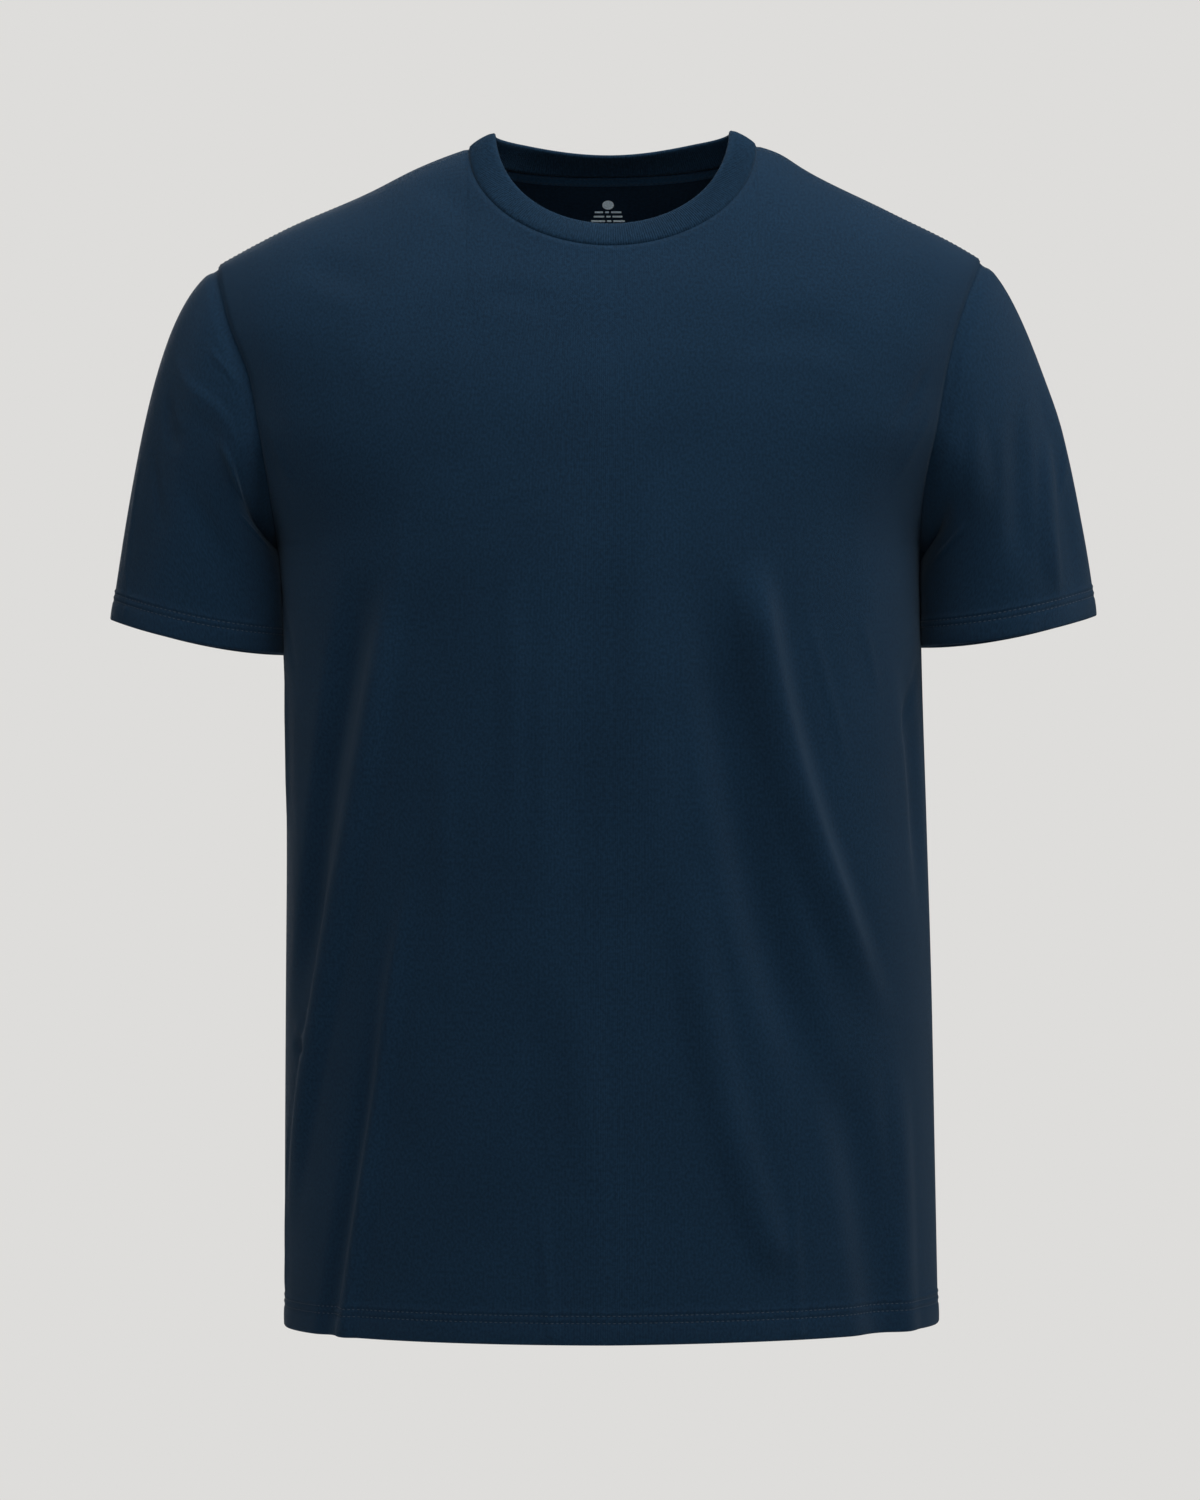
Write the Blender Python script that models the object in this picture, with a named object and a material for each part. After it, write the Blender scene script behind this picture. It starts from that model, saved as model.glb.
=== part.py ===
"""Crew neck t-shirt in its worn shape, hollow, with nobody inside.

Six sewn pieces, each a closed wall of cloth: front, back, two sleeves, ribbed neckband and back neck tape.
Run it with: blender --background --python part.py

Sizes are millimetres and become metres as points are stored. +Z is up, the front faces -Y, and the wearer's
left is +X. The origin lies between the shoulder seams, at the height where the neckline meets them.

The torso is a tube of superellipse sections. "Turn" goes round it in degrees: 0 at the front centre, -90 at
the wearer's right side seam, 90 at the left one and 180 at the back centre. Above the yoke line the wall
rolls back over the chest and the shoulder blades to the ridge that carries the shoulder seams. A sleeve is
a tube of Bezier lines from the armhole to the cuff, with turn 0 outside, 90 in front and 180 underneath.
"""

import math
from collections import namedtuple
from functools import partial

import bmesh
import bpy
import numpy as np

MM = 0.001

# ---- Driving sizes -------------------------------------------------------------------------------------
WALL = 1.6              # jersey wall of the body and sleeves
SEAM_GAP = 0.3          # pieces stop this far apart at a seam
HEM = -700.0            # height of the bottom edge
HEM_RISE = 2.0          # how much higher it hangs on the wearer's left side
HEM_DEEP = 19.0         # turn-up of the body hem
CUFF_DEEP = 17.0        # turn-up of a sleeve hem
HEM_STEP = 0.5          # how far the doubled hem stands out
ARMPIT = -238.0         # height where side seam and underarm seam meet
YOKE = -140.0           # height where the wall starts to roll back to the shoulders
ARMHOLE_MIDDLE = -168.0  # height where the armhole stands furthest from the ridge
ARMHOLE_DEPTH = 62.0    # from the ridge to the armhole at that height
SHOULDER_DEPTH = 50.0   # roll of the panel at the shoulder point
NECK_PEAK = 0.32        # how much sharper the ridge is beside the neck than on the arm
NECK_PEAK_END = (90.0, 200.0)  # across, where that starts to fade and where it has gone
SHOULDER_POINT = -67.0  # above this height the panels' side edges no longer part

NECK_MIDDLE = 2.0       # the neckline sits this far to the wearer's left
NECK_HALF = 85.5        # half width of the neckline at the shoulder seams
NECK_CORNER = 0.1       # height of the neckline there
NECK_TILT = 0.9         # how much higher that is on the wearer's left, and lower on the right
FRONT_DROP = 64.6       # neckline below its corners in front
BACK_DROP = 10.6        # and behind

BAND_WALL = 2.4         # doubled rib of the neckband
BAND_WIDE = 17.0        # from its seam to its free edge
BAND_BOW = 0.9          # roundness of the band across its width

TAPE_WALL = 1.0
TAPE_LEVEL = 1.938      # row of the back that carries the tape's lower edge, 9 mm under the neckline
TAPE_INSET = 0.07       # share of the tape's width that it stays below the neckline

# ---- Mesh density --------------------------------------------------------------------------------------
HEM_SLOPE = 0.8         # half the height over which a hem's step runs out
TRUNK_BOTTOM = -640.0   # lowest and highest of the evenly spaced rows
TRUNK_TOP = -264.0
TRUNK_STEPS = 8
UNDER_ARMPIT = -247.0   # one more row, just below the armpit
ARMHOLE_ANGLES = (0, 24, 45, 66, 90)  # rows from the armpit to the armhole's middle, along a quarter circle
YOKE_STEPS = 7          # rows from the yoke line to the tape's lower edge
TOP_LEVEL = 2.0         # the row on the neckline and the shoulder seams
NECK_STEPS = 16         # columns along the neckline
SHOULDER_STEPS = 10     # columns along each shoulder seam
SLEEVE_ROWS = (0.0, 0.05, 0.12, 0.2, 0.3, 0.42, 0.56, 0.7, 0.85)  # shares of the way to a sleeve's hem
BAND_STEPS = 3          # steps across the neckband
EDGE_STEPS = 3          # steps round its free edge
SIDE_EXPONENT = 2.2     # spreads the columns evenly round the side
DENSE = 1600            # samples that measure an armhole
NUDGE = 0.004           # step across or along, as a share, that measures a surface's direction
TURN_NUDGE = 0.9        # step of turn for the same, in degrees
CLIMB_NUDGE = 0.5       # and step of climb
SETTLE = 12             # rounds in which a point's height and place across settle together
SHARP = 50.0            # edges sharper than this, in degrees, stay crisp

# ---- Tables --------------------------------------------------------------------------------------------
# Torso sections from hem to shoulder: half widths to the wearer's right and left (to the armhole above the
# armpit), depths in front of and behind the side seams, and exponent of the superellipse.
Section = namedtuple("Section", "height right left front back square")
SECTIONS = (
    Section(-700, 192.0, 195.0, 112, 123, 2.00),
    Section(-600, 192.0, 193.0, 115, 126, 2.05),
    Section(-500, 191.5, 191.0, 118, 128, 2.10),
    Section(-400, 191.0, 188.0, 121, 131, 2.20),
    Section(-300, 193.0, 185.0, 122, 134, 2.20),
    Section(-238, 196.5, 184.0, 119, 135, 2.25),
    Section(-200, 200.5, 185.5, 115, 135, 2.30),
    Section(-169, 205.0, 191.5, 110, 134, 2.30),
    Section(-138, 211.0, 197.0, 104, 133, 2.30),
    Section(-110, 222.0, 204.0, 98, 133, 2.30),
    Section(-85, 229.0, 213.0, 93, 133, 2.30),
    Section(-67, 232.5, 220.5, 88, 133, 2.30),
    Section(0, 234.0, 222.0, 76, 132, 2.30),
)

# The ridge over the shoulders, from the wearer's right arm to the left one.
Ridge = namedtuple("Ridge", "across height")
RIDGE = (
    Ridge(-246, -79.0),
    Ridge(-232.5, -71.0),
    Ridge(-194, -50.2),
    Ridge(-140, -26.0),
    Ridge(-116, -13.5),
    Ridge(-83.5, -0.8),
    Ridge(-55, 6.5),
    Ridge(0, 8.0),
    Ridge(59, 6.5),
    Ridge(87.5, 1.0),
    Ridge(101, -3.8),
    Ridge(115, -12.6),
    Ridge(165, -38.0),
    Ridge(212, -62.0),
    Ridge(220.5, -67.2),
    Ridge(235, -77.0),
)

# How the neckband leans out of the surface of the body beside it, in degrees: 0 is the front centre, 90 the
# shoulder seam and 180 the back centre.
Lean = namedtuple("Lean", "turn degrees")
BAND_LEAN = (
    Lean(0, -7),
    Lean(45, -3),
    Lean(90, 14),
    Lean(135, 20),
    Lean(180, 4),
    Lean(225, 20),
    Lean(270, 14),
    Lean(315, -3),
)

# Folds: where each starts and ends, sideways bow, rise (a trough is negative), half width, and the shares of
# its length over which it grows and fades. Torso folds go by turn and height.
Fold = namedtuple("Fold", "turn height to_turn to_height bow rise width grow fade")
TORSO_FOLDS = (
    Fold(-36, -247, -80, -657, 5, 7.0, 15, 0.20, 0.30),
    Fold(-43, -245, -72, -529, -5, -7.5, 19, 0.25, 0.30),
    Fold(-35, -428, -52, -704, 1, 3.6, 11, 0.25, 0.02),
    Fold(-40, -498, -58, -704, 0, -3.0, 12, 0.35, 0.02),
    Fold(24, -243, 56, -522, -17, 9.5, 20, 0.16, 0.35),
    Fold(17, -249, 42, -599, -16, -8.5, 25, 0.25, 0.40),
    Fold(9, -249, 4, -455, -4, 3.6, 26, 0.35, 0.40),
    Fold(12, -414, 29, -664, -12, 4.4, 18, 0.35, 0.10),
    Fold(3, -180, -6, -497, -6, -3.6, 20, 0.35, 0.40),
    Fold(39, -519, 53, -704, 4, -5.0, 24, 0.40, 0.02),
    Fold(59, -527, 62, -704, 2, 3.0, 16, 0.40, 0.02),
    Fold(67, -296, 73, -465, 5, -4.0, 15, 0.35, 0.40),
    Fold(-5, -483, -3, -614, 1, 2.2, 15, 0.40, 0.35),
    Fold(-51, -71, -31, -90, -1, -1.6, 18, 0.40, 0.45),
    Fold(152, -230, 128, -470, -6, 4.5, 18, 0.35, 0.40),
    Fold(143, -300, 118, -560, -4, -5.5, 28, 0.35, 0.40),
    Fold(131, -430, 112, -690, 5, 4.5, 18, 0.35, 0.25),
    Fold(-150, -240, -131, -500, 6, 5.0, 17, 0.35, 0.40),
    Fold(-140, -320, -122, -600, 3, -5.5, 28, 0.35, 0.40),
    Fold(-126, -470, -110, -702, 0, 4.0, 18, 0.40, 0.04),
    Fold(171, -260, 168, -560, -5, -3.0, 28, 0.45, 0.45),
    Fold(-174, -330, -171, -640, 4, 2.6, 24, 0.45, 0.45),
    Fold(160, -480, 154, -704, 0, -3.0, 24, 0.45, 0.02),
    Fold(-160, -520, -156, -704, 0, -3.0, 22, 0.45, 0.02),
)
GIRTH_MEAN = 2.7        # millimetres of cloth for each degree of turn, on average
GIRTH_SWING = 17.2      # how much sooner the flat front uses them up

# Sleeve lines from the armhole to the cuff: the first handle of the Bezier line (outwards, forwards, down)
# and the second one, from the cuff (inwards, up).
SleeveLine = namedtuple("SleeveLine", "turn out forward down inward up")
RIGHT_LINES = (
    SleeveLine(0, 34, 0, 23, 17, 113),
    SleeveLine(55, 32, 8, 24, 15, 94),
    SleeveLine(105, 24, 3, 22, 8, 64),
    SleeveLine(150, 11, 0, 10, 2, 36),
    SleeveLine(180, 3, 0, 12, 4, 28),
    SleeveLine(210, 11, 0, 10, 2, 36),
    SleeveLine(255, 24, -3, 22, 8, 64),
    SleeveLine(305, 32, -8, 24, 16, 92),
)
LEFT_LINES = (
    SleeveLine(0, 25, 0, 17, 10, 93),
    SleeveLine(55, 27, 8, 20, 9, 84),
    SleeveLine(105, 24, 3, 22, 7, 62),
    SleeveLine(150, 11, 0, 10, 2, 36),
    SleeveLine(180, 3, 0, 12, 4, 28),
    SleeveLine(210, 11, 0, 10, 2, 36),
    SleeveLine(255, 24, -3, 22, 7, 62),
    SleeveLine(305, 30, -12, 20, 6, 84),
)

# Sleeve folds go by turn and by height under the armhole seam, along the cloth.
RIGHT_FOLDS = (
    Fold(27, -80, 112, -26, -5, 1.2, 14, 0.40, 0.45),
    Fold(35, -88, 66, -96, -8, -1.8, 14, 0.40, 0.45),
    Fold(84, -66, 130, -74, 11, 1.8, 14, 0.40, 0.45),
    Fold(66, -110, 120, -170, 0, -1.6, 16, 0.45, 0.45),
    Fold(318, -60, 236, -128, 6, 3.0, 16, 0.40, 0.45),
    Fold(300, -96, 232, -170, 3, -2.8, 18, 0.45, 0.45),
)
LEFT_FOLDS = (
    Fold(14, -70, 30, -190, 3, 3.4, 15, 0.35, 0.35),
    Fold(33, -97, 58, -165, 7, 2.8, 11, 0.30, 0.30),
    Fold(88, -35, 97, -120, 6, 2.0, 18, 0.35, 0.40),
    Fold(322, -70, 240, -140, 6, 3.0, 16, 0.40, 0.45),
    Fold(298, -110, 236, -176, 3, -2.6, 16, 0.45, 0.45),
)

# A cuff is an ellipse through its outer and inner ends, deep to the front and back, dipping between them.
Cuff = namedtuple("Cuff", "outer outer_height inner inner_height deep middle dip")
RIGHT_CUFF = Cuff(296.4, -280.6, 188.0, -301.2, 60.0, 10.0, 4.6)
LEFT_CUFF = Cuff(289.7, -278.2, 181.0, -296.6, 60.0, 10.0, 4.6)
BODY_CLEAR = 1.0        # a sleeve pressed against the side of the body stays this far off it
PRESS_SOFT = 2.0        # how softly it turns away from it
PRESS_START = 12.0      # below the armpit, where that begins
SLEEVE_SCALE = 1.0      # millimetres of cloth for each degree round a sleeve
SLEEVE_RUN = 0.68       # length of a sleeve line over its speed at the cuff

NAVY = (0.0060, 0.0165, 0.0325, 1.0)
NAVY_RIB = (0.0066, 0.0180, 0.0350, 1.0)
JERSEY_ROUGH = 0.88
RIB_ROUGH = 0.92

FRONT, BACK = -1.0, 1.0
RIGHT, LEFT = -1.0, 1.0


# ---- Curves and tables ---------------------------------------------------------------------------------
def curve_through(keys, values, at):
    """Smooth curve through a table: cubic between rows, with each row's slope from its neighbours."""
    keys, values = np.asarray(keys, float), np.asarray(values, float)
    step = np.diff(keys)
    rise = np.diff(values) / step
    slope = np.empty_like(values)
    slope[1:-1] = (rise[:-1] * step[1:] + rise[1:] * step[:-1]) / (step[1:] + step[:-1])
    slope[0], slope[-1] = rise[0], rise[-1]
    row = np.clip(np.searchsorted(keys, at) - 1, 0, len(keys) - 2)
    part = np.clip((at - keys[row]) / step[row], 0.0, 1.0)
    late = part * part * (3 - 2 * part)
    start = slope[row] * step[row] * part * (1 - part) ** 2
    end = slope[row + 1] * step[row] * part * part * (1 - part)
    return values[row] * (1 - late) + values[row + 1] * late + start - end


def around(rows, column, turn):
    """Smooth curve through a table that closes on itself after 360 degrees."""
    keys = [row.turn for row in rows]
    values = [getattr(row, column) for row in rows]
    keys = [keys[-2] - 360, keys[-1] - 360] + keys + [keys[0] + 360, keys[1] + 360]
    values = values[-2:] + values + values[:2]
    return curve_through(keys, values, turn)


def section(column, height):
    """One column of the torso's sections at a height."""
    return curve_through([s.height for s in SECTIONS], [getattr(s, column) for s in SECTIONS], height)


def ridge(across):
    """Height of the shoulder ridge."""
    return curve_through([r.across for r in RIDGE], [r.height for r in RIDGE], across)


def ease(part):
    """Smooth step from 0 to 1."""
    part = np.clip(part, 0.0, 1.0)
    return part * part * (3 - 2 * part)


def arch(part):
    """Parabola of height 1 over 0 to 1."""
    return 4 * part * (1 - part)


def unit(vectors):
    """Vectors at length 1."""
    return vectors / np.linalg.norm(vectors, axis=-1, keepdims=True)


def fold_relief(folds, lay, turn, height):
    """How far the folds lift the cloth at a turn and height; lay turns degrees into millimetres of cloth."""
    lift = np.zeros(np.broadcast(turn, height).shape)
    whole = lay(360.0)
    for fold in folds:
        run = lay(fold.to_turn) - lay(fold.turn)
        run -= whole * round(run / whole)
        fall = fold.to_height - fold.height
        length = math.hypot(run, fall)
        side = lay(turn) - lay(fold.turn)
        side = side - whole * np.round((side - run / 2) / whole)
        down = height - fold.height
        part = (side * run + down * fall) / length ** 2
        off = (down * run - side * fall) / length - fold.bow * arch(part)
        bell = np.cos(np.clip(off / fold.width, -1, 1) * math.pi / 2) ** 2
        lift = lift + fold.rise * bell * ease(part / fold.grow) * ease((1 - part) / fold.fade)
    return lift


# ---- Torso ---------------------------------------------------------------------------------------------
def lay_torso(turn):
    """Millimetres of cloth from the front centre to a turn."""
    return GIRTH_MEAN * turn + GIRTH_SWING * np.sin(np.radians(2 * turn))


def half_width(across, height):
    """From the middle to the side seam, or to the armhole above the armpit."""
    height = np.minimum(height, SHOULDER_POINT)
    return np.where(across < 0, section("right", height), section("left", height))


def armhole_depth(height):
    """Depth of a panel at its side edge: none on the side seam, most at the middle of the armhole."""
    low = ease((height - ARMPIT) / (ARMHOLE_MIDDLE - ARMPIT)) ** (1 / section("square", height))
    high = ease((height - ARMHOLE_MIDDLE) / (SHOULDER_POINT - ARMHOLE_MIDDLE))
    return ARMHOLE_DEPTH * low - (ARMHOLE_DEPTH - SHOULDER_DEPTH) * high


def neck_height(side, x):
    """Height of the neckline, or of the shoulder ridge beside it."""
    share = np.clip((x - NECK_MIDDLE) / NECK_HALF, -1.0, 1.0)
    drop = FRONT_DROP if side == FRONT else BACK_DROP
    line = NECK_CORNER + NECK_TILT * share - drop * np.sqrt(1 - share * share)
    return np.where(np.abs(share) < 1.0, np.minimum(line, ridge(x)), ridge(x))


def climb_at(side, across, level):
    """Climb of a row: its height up to the yoke line, and past it one more for each degree of roll."""
    across, level = np.broadcast_arrays(across, level)
    top = np.zeros(across.shape)
    for _ in range(SETTLE):
        x = across * half_width(across, top)
        top = neck_height(side, x)
    roll = 90 - np.degrees(np.arccos(np.clip((top - YOKE) / (ridge(x) - YOKE), -1.0, 1.0)))
    low = HEM + (YOKE - HEM) * np.clip(level, 0.0, 1.0)
    rise = HEM_RISE * np.maximum(across, 0.0) * np.clip((ARMPIT - low) / (ARMPIT - HEM), 0.0, 1.0)
    return low + rise + roll * np.clip(level - 1, 0.0, 1.0)


def wall(side, across, climb):
    """Smooth wall: across runs -1 to 1 between the side edges, climb from the hem to the shoulder ridge."""
    across, climb = np.broadcast_arrays(across, climb)
    roll = np.radians(90 - np.clip(climb - YOKE, 0.0, 90.0))
    height = np.minimum(climb, YOKE)
    for _ in range(SETTLE):
        x = across * half_width(across, height)
        height = np.where(climb > YOKE, YOKE + (ridge(x) - YOKE) * np.cos(roll), height)
    square = section("square", height)
    depth = section("front" if side == FRONT else "back", height)
    width = half_width(across, height) / (1 - (armhole_depth(height) / depth) ** square) ** (1 / square)
    share = np.clip(np.abs(x) / width, 0.0, 1.0)
    start, stop = NECK_PEAK_END
    peak = 1 + NECK_PEAK * (1 - ease((np.abs(x) - start) / (stop - start)))
    y = side * (depth * (1 - share ** square) ** (1 / square) * np.sin(roll) ** peak + SEAM_GAP / 2)
    return np.stack([x, y, height], axis=-1)


def wall_normal(side, across, climb):
    """Outward direction of the smooth wall."""
    low, high = np.maximum(climb - CLIMB_NUDGE, HEM), np.minimum(climb + CLIMB_NUDGE, YOKE + 90)
    left, right = np.maximum(across - NUDGE, -1.0), np.minimum(across + NUDGE, 1.0)
    up = wall(side, across, high) - wall(side, across, low)
    along = wall(side, right, climb) - wall(side, left, climb)
    return unit(np.cross(along, up)) * -side


def torso_turn(side, across):
    """Turn of a column, in degrees."""
    turn = np.sign(across) * np.degrees(np.arcsin(np.abs(across) ** (SIDE_EXPONENT / 2)))
    return turn if side == FRONT else 180.0 - turn


def torso(side, across, level):
    """Folded wall and its outward direction: level 0 is the hem, 1 the yoke line, 2 the top edge."""
    climb = climb_at(side, across, level)
    normal = wall_normal(side, across, climb)
    points = wall(side, across, climb)
    lift = fold_relief(TORSO_FOLDS, lay_torso, torso_turn(side, across), points[..., 2])
    return points + normal * lift[..., None], normal


def side_to_neck(edge):
    """Columns along one shoulder seam, from the armhole (edge -1 or 1) to the neckline."""
    corner = NECK_MIDDLE + edge * NECK_HALF
    inner = abs(corner) / float(half_width(edge, NECK_CORNER))
    first = math.asin(inner ** (SIDE_EXPONENT / 2))
    turns = np.linspace(math.pi / 2, first, SHOULDER_STEPS + 1)
    return edge * np.sin(turns) ** (2 / SIDE_EXPONENT)


def neck_columns():
    """Columns between the neckline's corners, even along its curve."""
    angles = np.linspace(-math.pi / 2, math.pi / 2, NECK_STEPS + 1)[1:-1]
    x = NECK_MIDDLE + NECK_HALF * np.sin(angles)
    return x / half_width(x, neck_height(FRONT, x))


def level_at(height):
    """Level of a height below the yoke line."""
    return (height - HEM) / (YOKE - HEM)


def body_levels():
    """Rows from the hem to the shoulder, closer at the hem and round the armhole."""
    skirt = [HEM, HEM + HEM_DEEP - HEM_SLOPE, HEM + HEM_DEEP + HEM_SLOPE]
    trunk = list(np.linspace(TRUNK_BOTTOM, TRUNK_TOP, TRUNK_STEPS + 1))
    armhole = [ARMPIT + (ARMHOLE_MIDDLE - ARMPIT) * (1 - math.cos(a)) for a in np.radians(ARMHOLE_ANGLES)]
    below = [level_at(height) for height in skirt + trunk + [UNDER_ARMPIT] + armhole]
    return np.array(below + list(np.linspace(1.0, TAPE_LEVEL, YOKE_STEPS + 1)) + [TOP_LEVEL])


def armhole_rows(levels):
    """Rows that lie on the armhole, armpit first."""
    return levels[levels > level_at((ARMPIT + UNDER_ARMPIT) / 2)]


# ---- Sleeves -------------------------------------------------------------------------------------------
def armhole_turn(edge, side, levels):
    """Turn on the sleeve of each armhole row: even along the seam, 0 at the shoulder, 180 at the armpit."""
    dense = np.linspace(level_at(ARMPIT), TOP_LEVEL, DENSE)
    line = wall(side, np.full(DENSE, edge), climb_at(side, edge, dense))
    run = np.concatenate([[0.0], np.cumsum(np.linalg.norm(np.diff(line, axis=0), axis=1))])
    turn = 180.0 * (1 - np.interp(levels, dense, run / run[-1]))
    return turn if side == FRONT else 360.0 - turn


def armhole_point(edge, turn):
    """Point of the armhole at a turn of the sleeve."""
    turn = np.mod(turn, 360.0)
    points = np.zeros(turn.shape + (3,))
    dense = np.linspace(level_at(ARMPIT), TOP_LEVEL, DENSE)
    for side, mine in ((FRONT, turn <= 180.0), (BACK, turn > 180.0)):
        keys = armhole_turn(edge, side, dense)
        order = np.argsort(keys)
        level = np.interp(turn, keys[order], dense[order])
        points[mine] = wall(side, np.full(turn.shape, edge), climb_at(side, edge, level))[mine]
    return points


def lay_sleeve(turn):
    """Millimetres of cloth from the outside of a sleeve to a turn."""
    return SLEEVE_SCALE * turn


def cuff_speed(lines, turn):
    """Millimetres a sleeve line covers per share at its cuff: three times its second handle."""
    return 3 * np.hypot(around(lines, "up", turn), around(lines, "inward", turn))


def hem_share(lines, turn):
    """Share of a sleeve line where its hem starts."""
    return 1 - CUFF_DEEP / cuff_speed(lines, turn)


def sleeve_base(edge, lines, cuff, turn, share):
    """Smooth sleeve: share runs 0 at the armhole to 1 at the cuff."""
    turn, share = np.broadcast_arrays(turn, share)
    angle = np.radians(turn)
    mid_x, mid_z = (cuff.outer + cuff.inner) / 2, (cuff.outer_height + cuff.inner_height) / 2
    end = np.stack([
        edge * (mid_x + (cuff.outer - cuff.inner) / 2 * np.cos(angle)),
        cuff.middle - cuff.deep * np.sin(angle),
        mid_z + (cuff.outer_height - cuff.inner_height) / 2 * np.cos(angle) - cuff.dip * np.sin(angle) ** 2,
    ], axis=-1)
    first = np.stack([
        edge * around(lines, "out", turn), -around(lines, "forward", turn), -around(lines, "down", turn),
    ], axis=-1)
    second = np.stack([
        -edge * around(lines, "inward", turn), np.zeros(turn.shape), around(lines, "up", turn),
    ], axis=-1)
    start = armhole_point(edge, turn) + unit(first) * SEAM_GAP
    t = share[..., None]
    points = ((1 - t) ** 3 * start + 3 * (1 - t) ** 2 * t * (start + first)
              + 3 * (1 - t) * t ** 2 * (end + second) + t ** 3 * end)
    return press_clear(edge, points)


def press_clear(edge, points):
    """Points under the armpit, moved out of the side of the body."""
    x, y, z = points[..., 0] * edge, points[..., 1], points[..., 2]
    depth = np.where(y < 0, section("front", z), section("back", z))
    square = section("square", z)
    side = half_width(edge, z) * (1 - np.clip(np.abs(y) / depth, 0.0, 1.0) ** square) ** (1 / square)
    side = side + BODY_CLEAR
    out = (x + side + np.sqrt((x - side) ** 2 + PRESS_SOFT ** 2)) / 2
    x = x + (out - x) * ease((ARMPIT - z) / PRESS_START)
    return np.stack([x * edge, y, z], axis=-1)


def sleeve(edge, lines, cuff, folds, turn, share):
    """Folded sleeve and its outward direction."""
    base = partial(sleeve_base, edge, lines, cuff)
    down = base(turn, np.minimum(share + NUDGE, 1.0)) - base(turn, np.maximum(share - NUDGE, 0.0))
    ring = base(turn + TURN_NUDGE, share) - base(turn - TURN_NUDGE, share)
    normal = unit(np.cross(ring, down)) * edge
    below_seam = -SLEEVE_RUN * cuff_speed(lines, turn) * share
    lift = fold_relief(folds, lay_sleeve, turn, below_seam)
    return base(turn, share) + normal * lift[..., None], normal


# ---- Solids --------------------------------------------------------------------------------------------
def border(rows, columns, closed):
    """Open edges of a grid, as loops of (row, column)."""
    if closed:
        return [[(0, c) for c in range(columns)], [(rows - 1, c) for c in range(columns)]]
    return [[(0, c) for c in range(columns)]
            + [(r, columns - 1) for r in range(1, rows)]
            + [(rows - 1, c) for c in range(columns - 2, -1, -1)]
            + [(r, 0) for r in range(rows - 2, 0, -1)]]


def skin(outer, inner, closed):
    """Closed mesh between two grids of points in millimetres: two faces of cloth and a rim on each edge."""
    rows, columns = outer.shape[:2]
    cloth = bmesh.new()
    faces_out = [[cloth.verts.new(outer[r, c] * MM) for c in range(columns)] for r in range(rows)]
    faces_in = [[cloth.verts.new(inner[r, c] * MM) for c in range(columns)] for r in range(rows)]
    for r in range(rows - 1):
        for c in range(columns if closed else columns - 1):
            d = (c + 1) % columns
            cloth.faces.new((faces_out[r][c], faces_out[r][d], faces_out[r + 1][d], faces_out[r + 1][c]))
            cloth.faces.new((faces_in[r][c], faces_in[r + 1][c], faces_in[r + 1][d], faces_in[r][d]))
    for loop in border(rows, columns, closed):
        for (r, c), (s, d) in zip(loop, loop[1:] + loop[:1]):
            cloth.faces.new((faces_out[r][c], faces_in[r][c], faces_in[s][d], faces_out[s][d]))
    bmesh.ops.recalc_face_normals(cloth, faces=cloth.faces)
    return cloth


def material(name, colour, roughness):
    """Matte cloth."""
    cloth = bpy.data.materials.new(name)
    cloth.use_nodes = True
    shader = cloth.node_tree.nodes["Principled BSDF"]
    shader.inputs["Base Color"].default_value = colour
    shader.inputs["Roughness"].default_value = roughness
    shader.inputs["Metallic"].default_value = 0.0
    return cloth


def add_piece(name, cloth, finish, collection, mount):
    """Object of one sewn piece, hung from the shoulder mount."""
    mesh = bpy.data.meshes.new(name)
    cloth.to_mesh(mesh)
    cloth.free()
    mesh.materials.append(finish)
    mesh.shade_smooth()
    mesh.set_sharp_from_angle(angle=math.radians(SHARP))
    piece = bpy.data.objects.new(name, mesh)
    piece.parent = mount
    collection.objects.link(piece)
    return piece


def panel(side):
    """Front or back of the body."""
    right, left = side_to_neck(RIGHT), side_to_neck(LEFT)[::-1]
    across = np.concatenate([right, neck_columns(), left])
    levels = body_levels()
    columns, rows = np.meshgrid(across, levels)
    points, normal = torso(side, columns, rows)
    step = HEM_STEP * (rows < level_at(HEM + HEM_DEEP))
    return skin(points + normal * step[..., None], points - normal * WALL, closed=False)


def sleeve_piece(edge, lines, cuff, folds):
    """One sleeve, with a row of points for each row on the armhole."""
    levels = armhole_rows(body_levels())
    front = armhole_turn(edge, FRONT, levels)[::-1]
    back = armhole_turn(edge, BACK, levels)[1:-1]
    turns = np.concatenate([front, back])
    hem = hem_share(lines, turns)
    shares = [hem * row for row in SLEEVE_ROWS] + [hem - NUDGE, hem + NUDGE, np.ones(turns.shape)]
    share = np.stack(shares)
    turn = np.broadcast_to(turns, share.shape)
    points, normal = sleeve(edge, lines, cuff, folds, turn, share)
    step = HEM_STEP * (share > hem)
    return skin(points + normal * step[..., None], points - normal * WALL, closed=True)


def neck_seam():
    """Points round the neckline with the body's outward direction, from the wearer's right over the front."""
    columns = np.concatenate([side_to_neck(RIGHT)[-1:], neck_columns(), side_to_neck(LEFT)[-1:]])
    turns = np.linspace(-90, 90, NECK_STEPS + 1)
    top = np.full(NECK_STEPS, TOP_LEVEL)
    front = torso(FRONT, columns[:-1], top)
    back = torso(BACK, columns[:0:-1], top)
    seam, normal = (np.concatenate([front[k], back[k]]) for k in (0, 1))
    return seam, normal, np.concatenate([turns[:-1], 180 - turns[:0:-1]])


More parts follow.
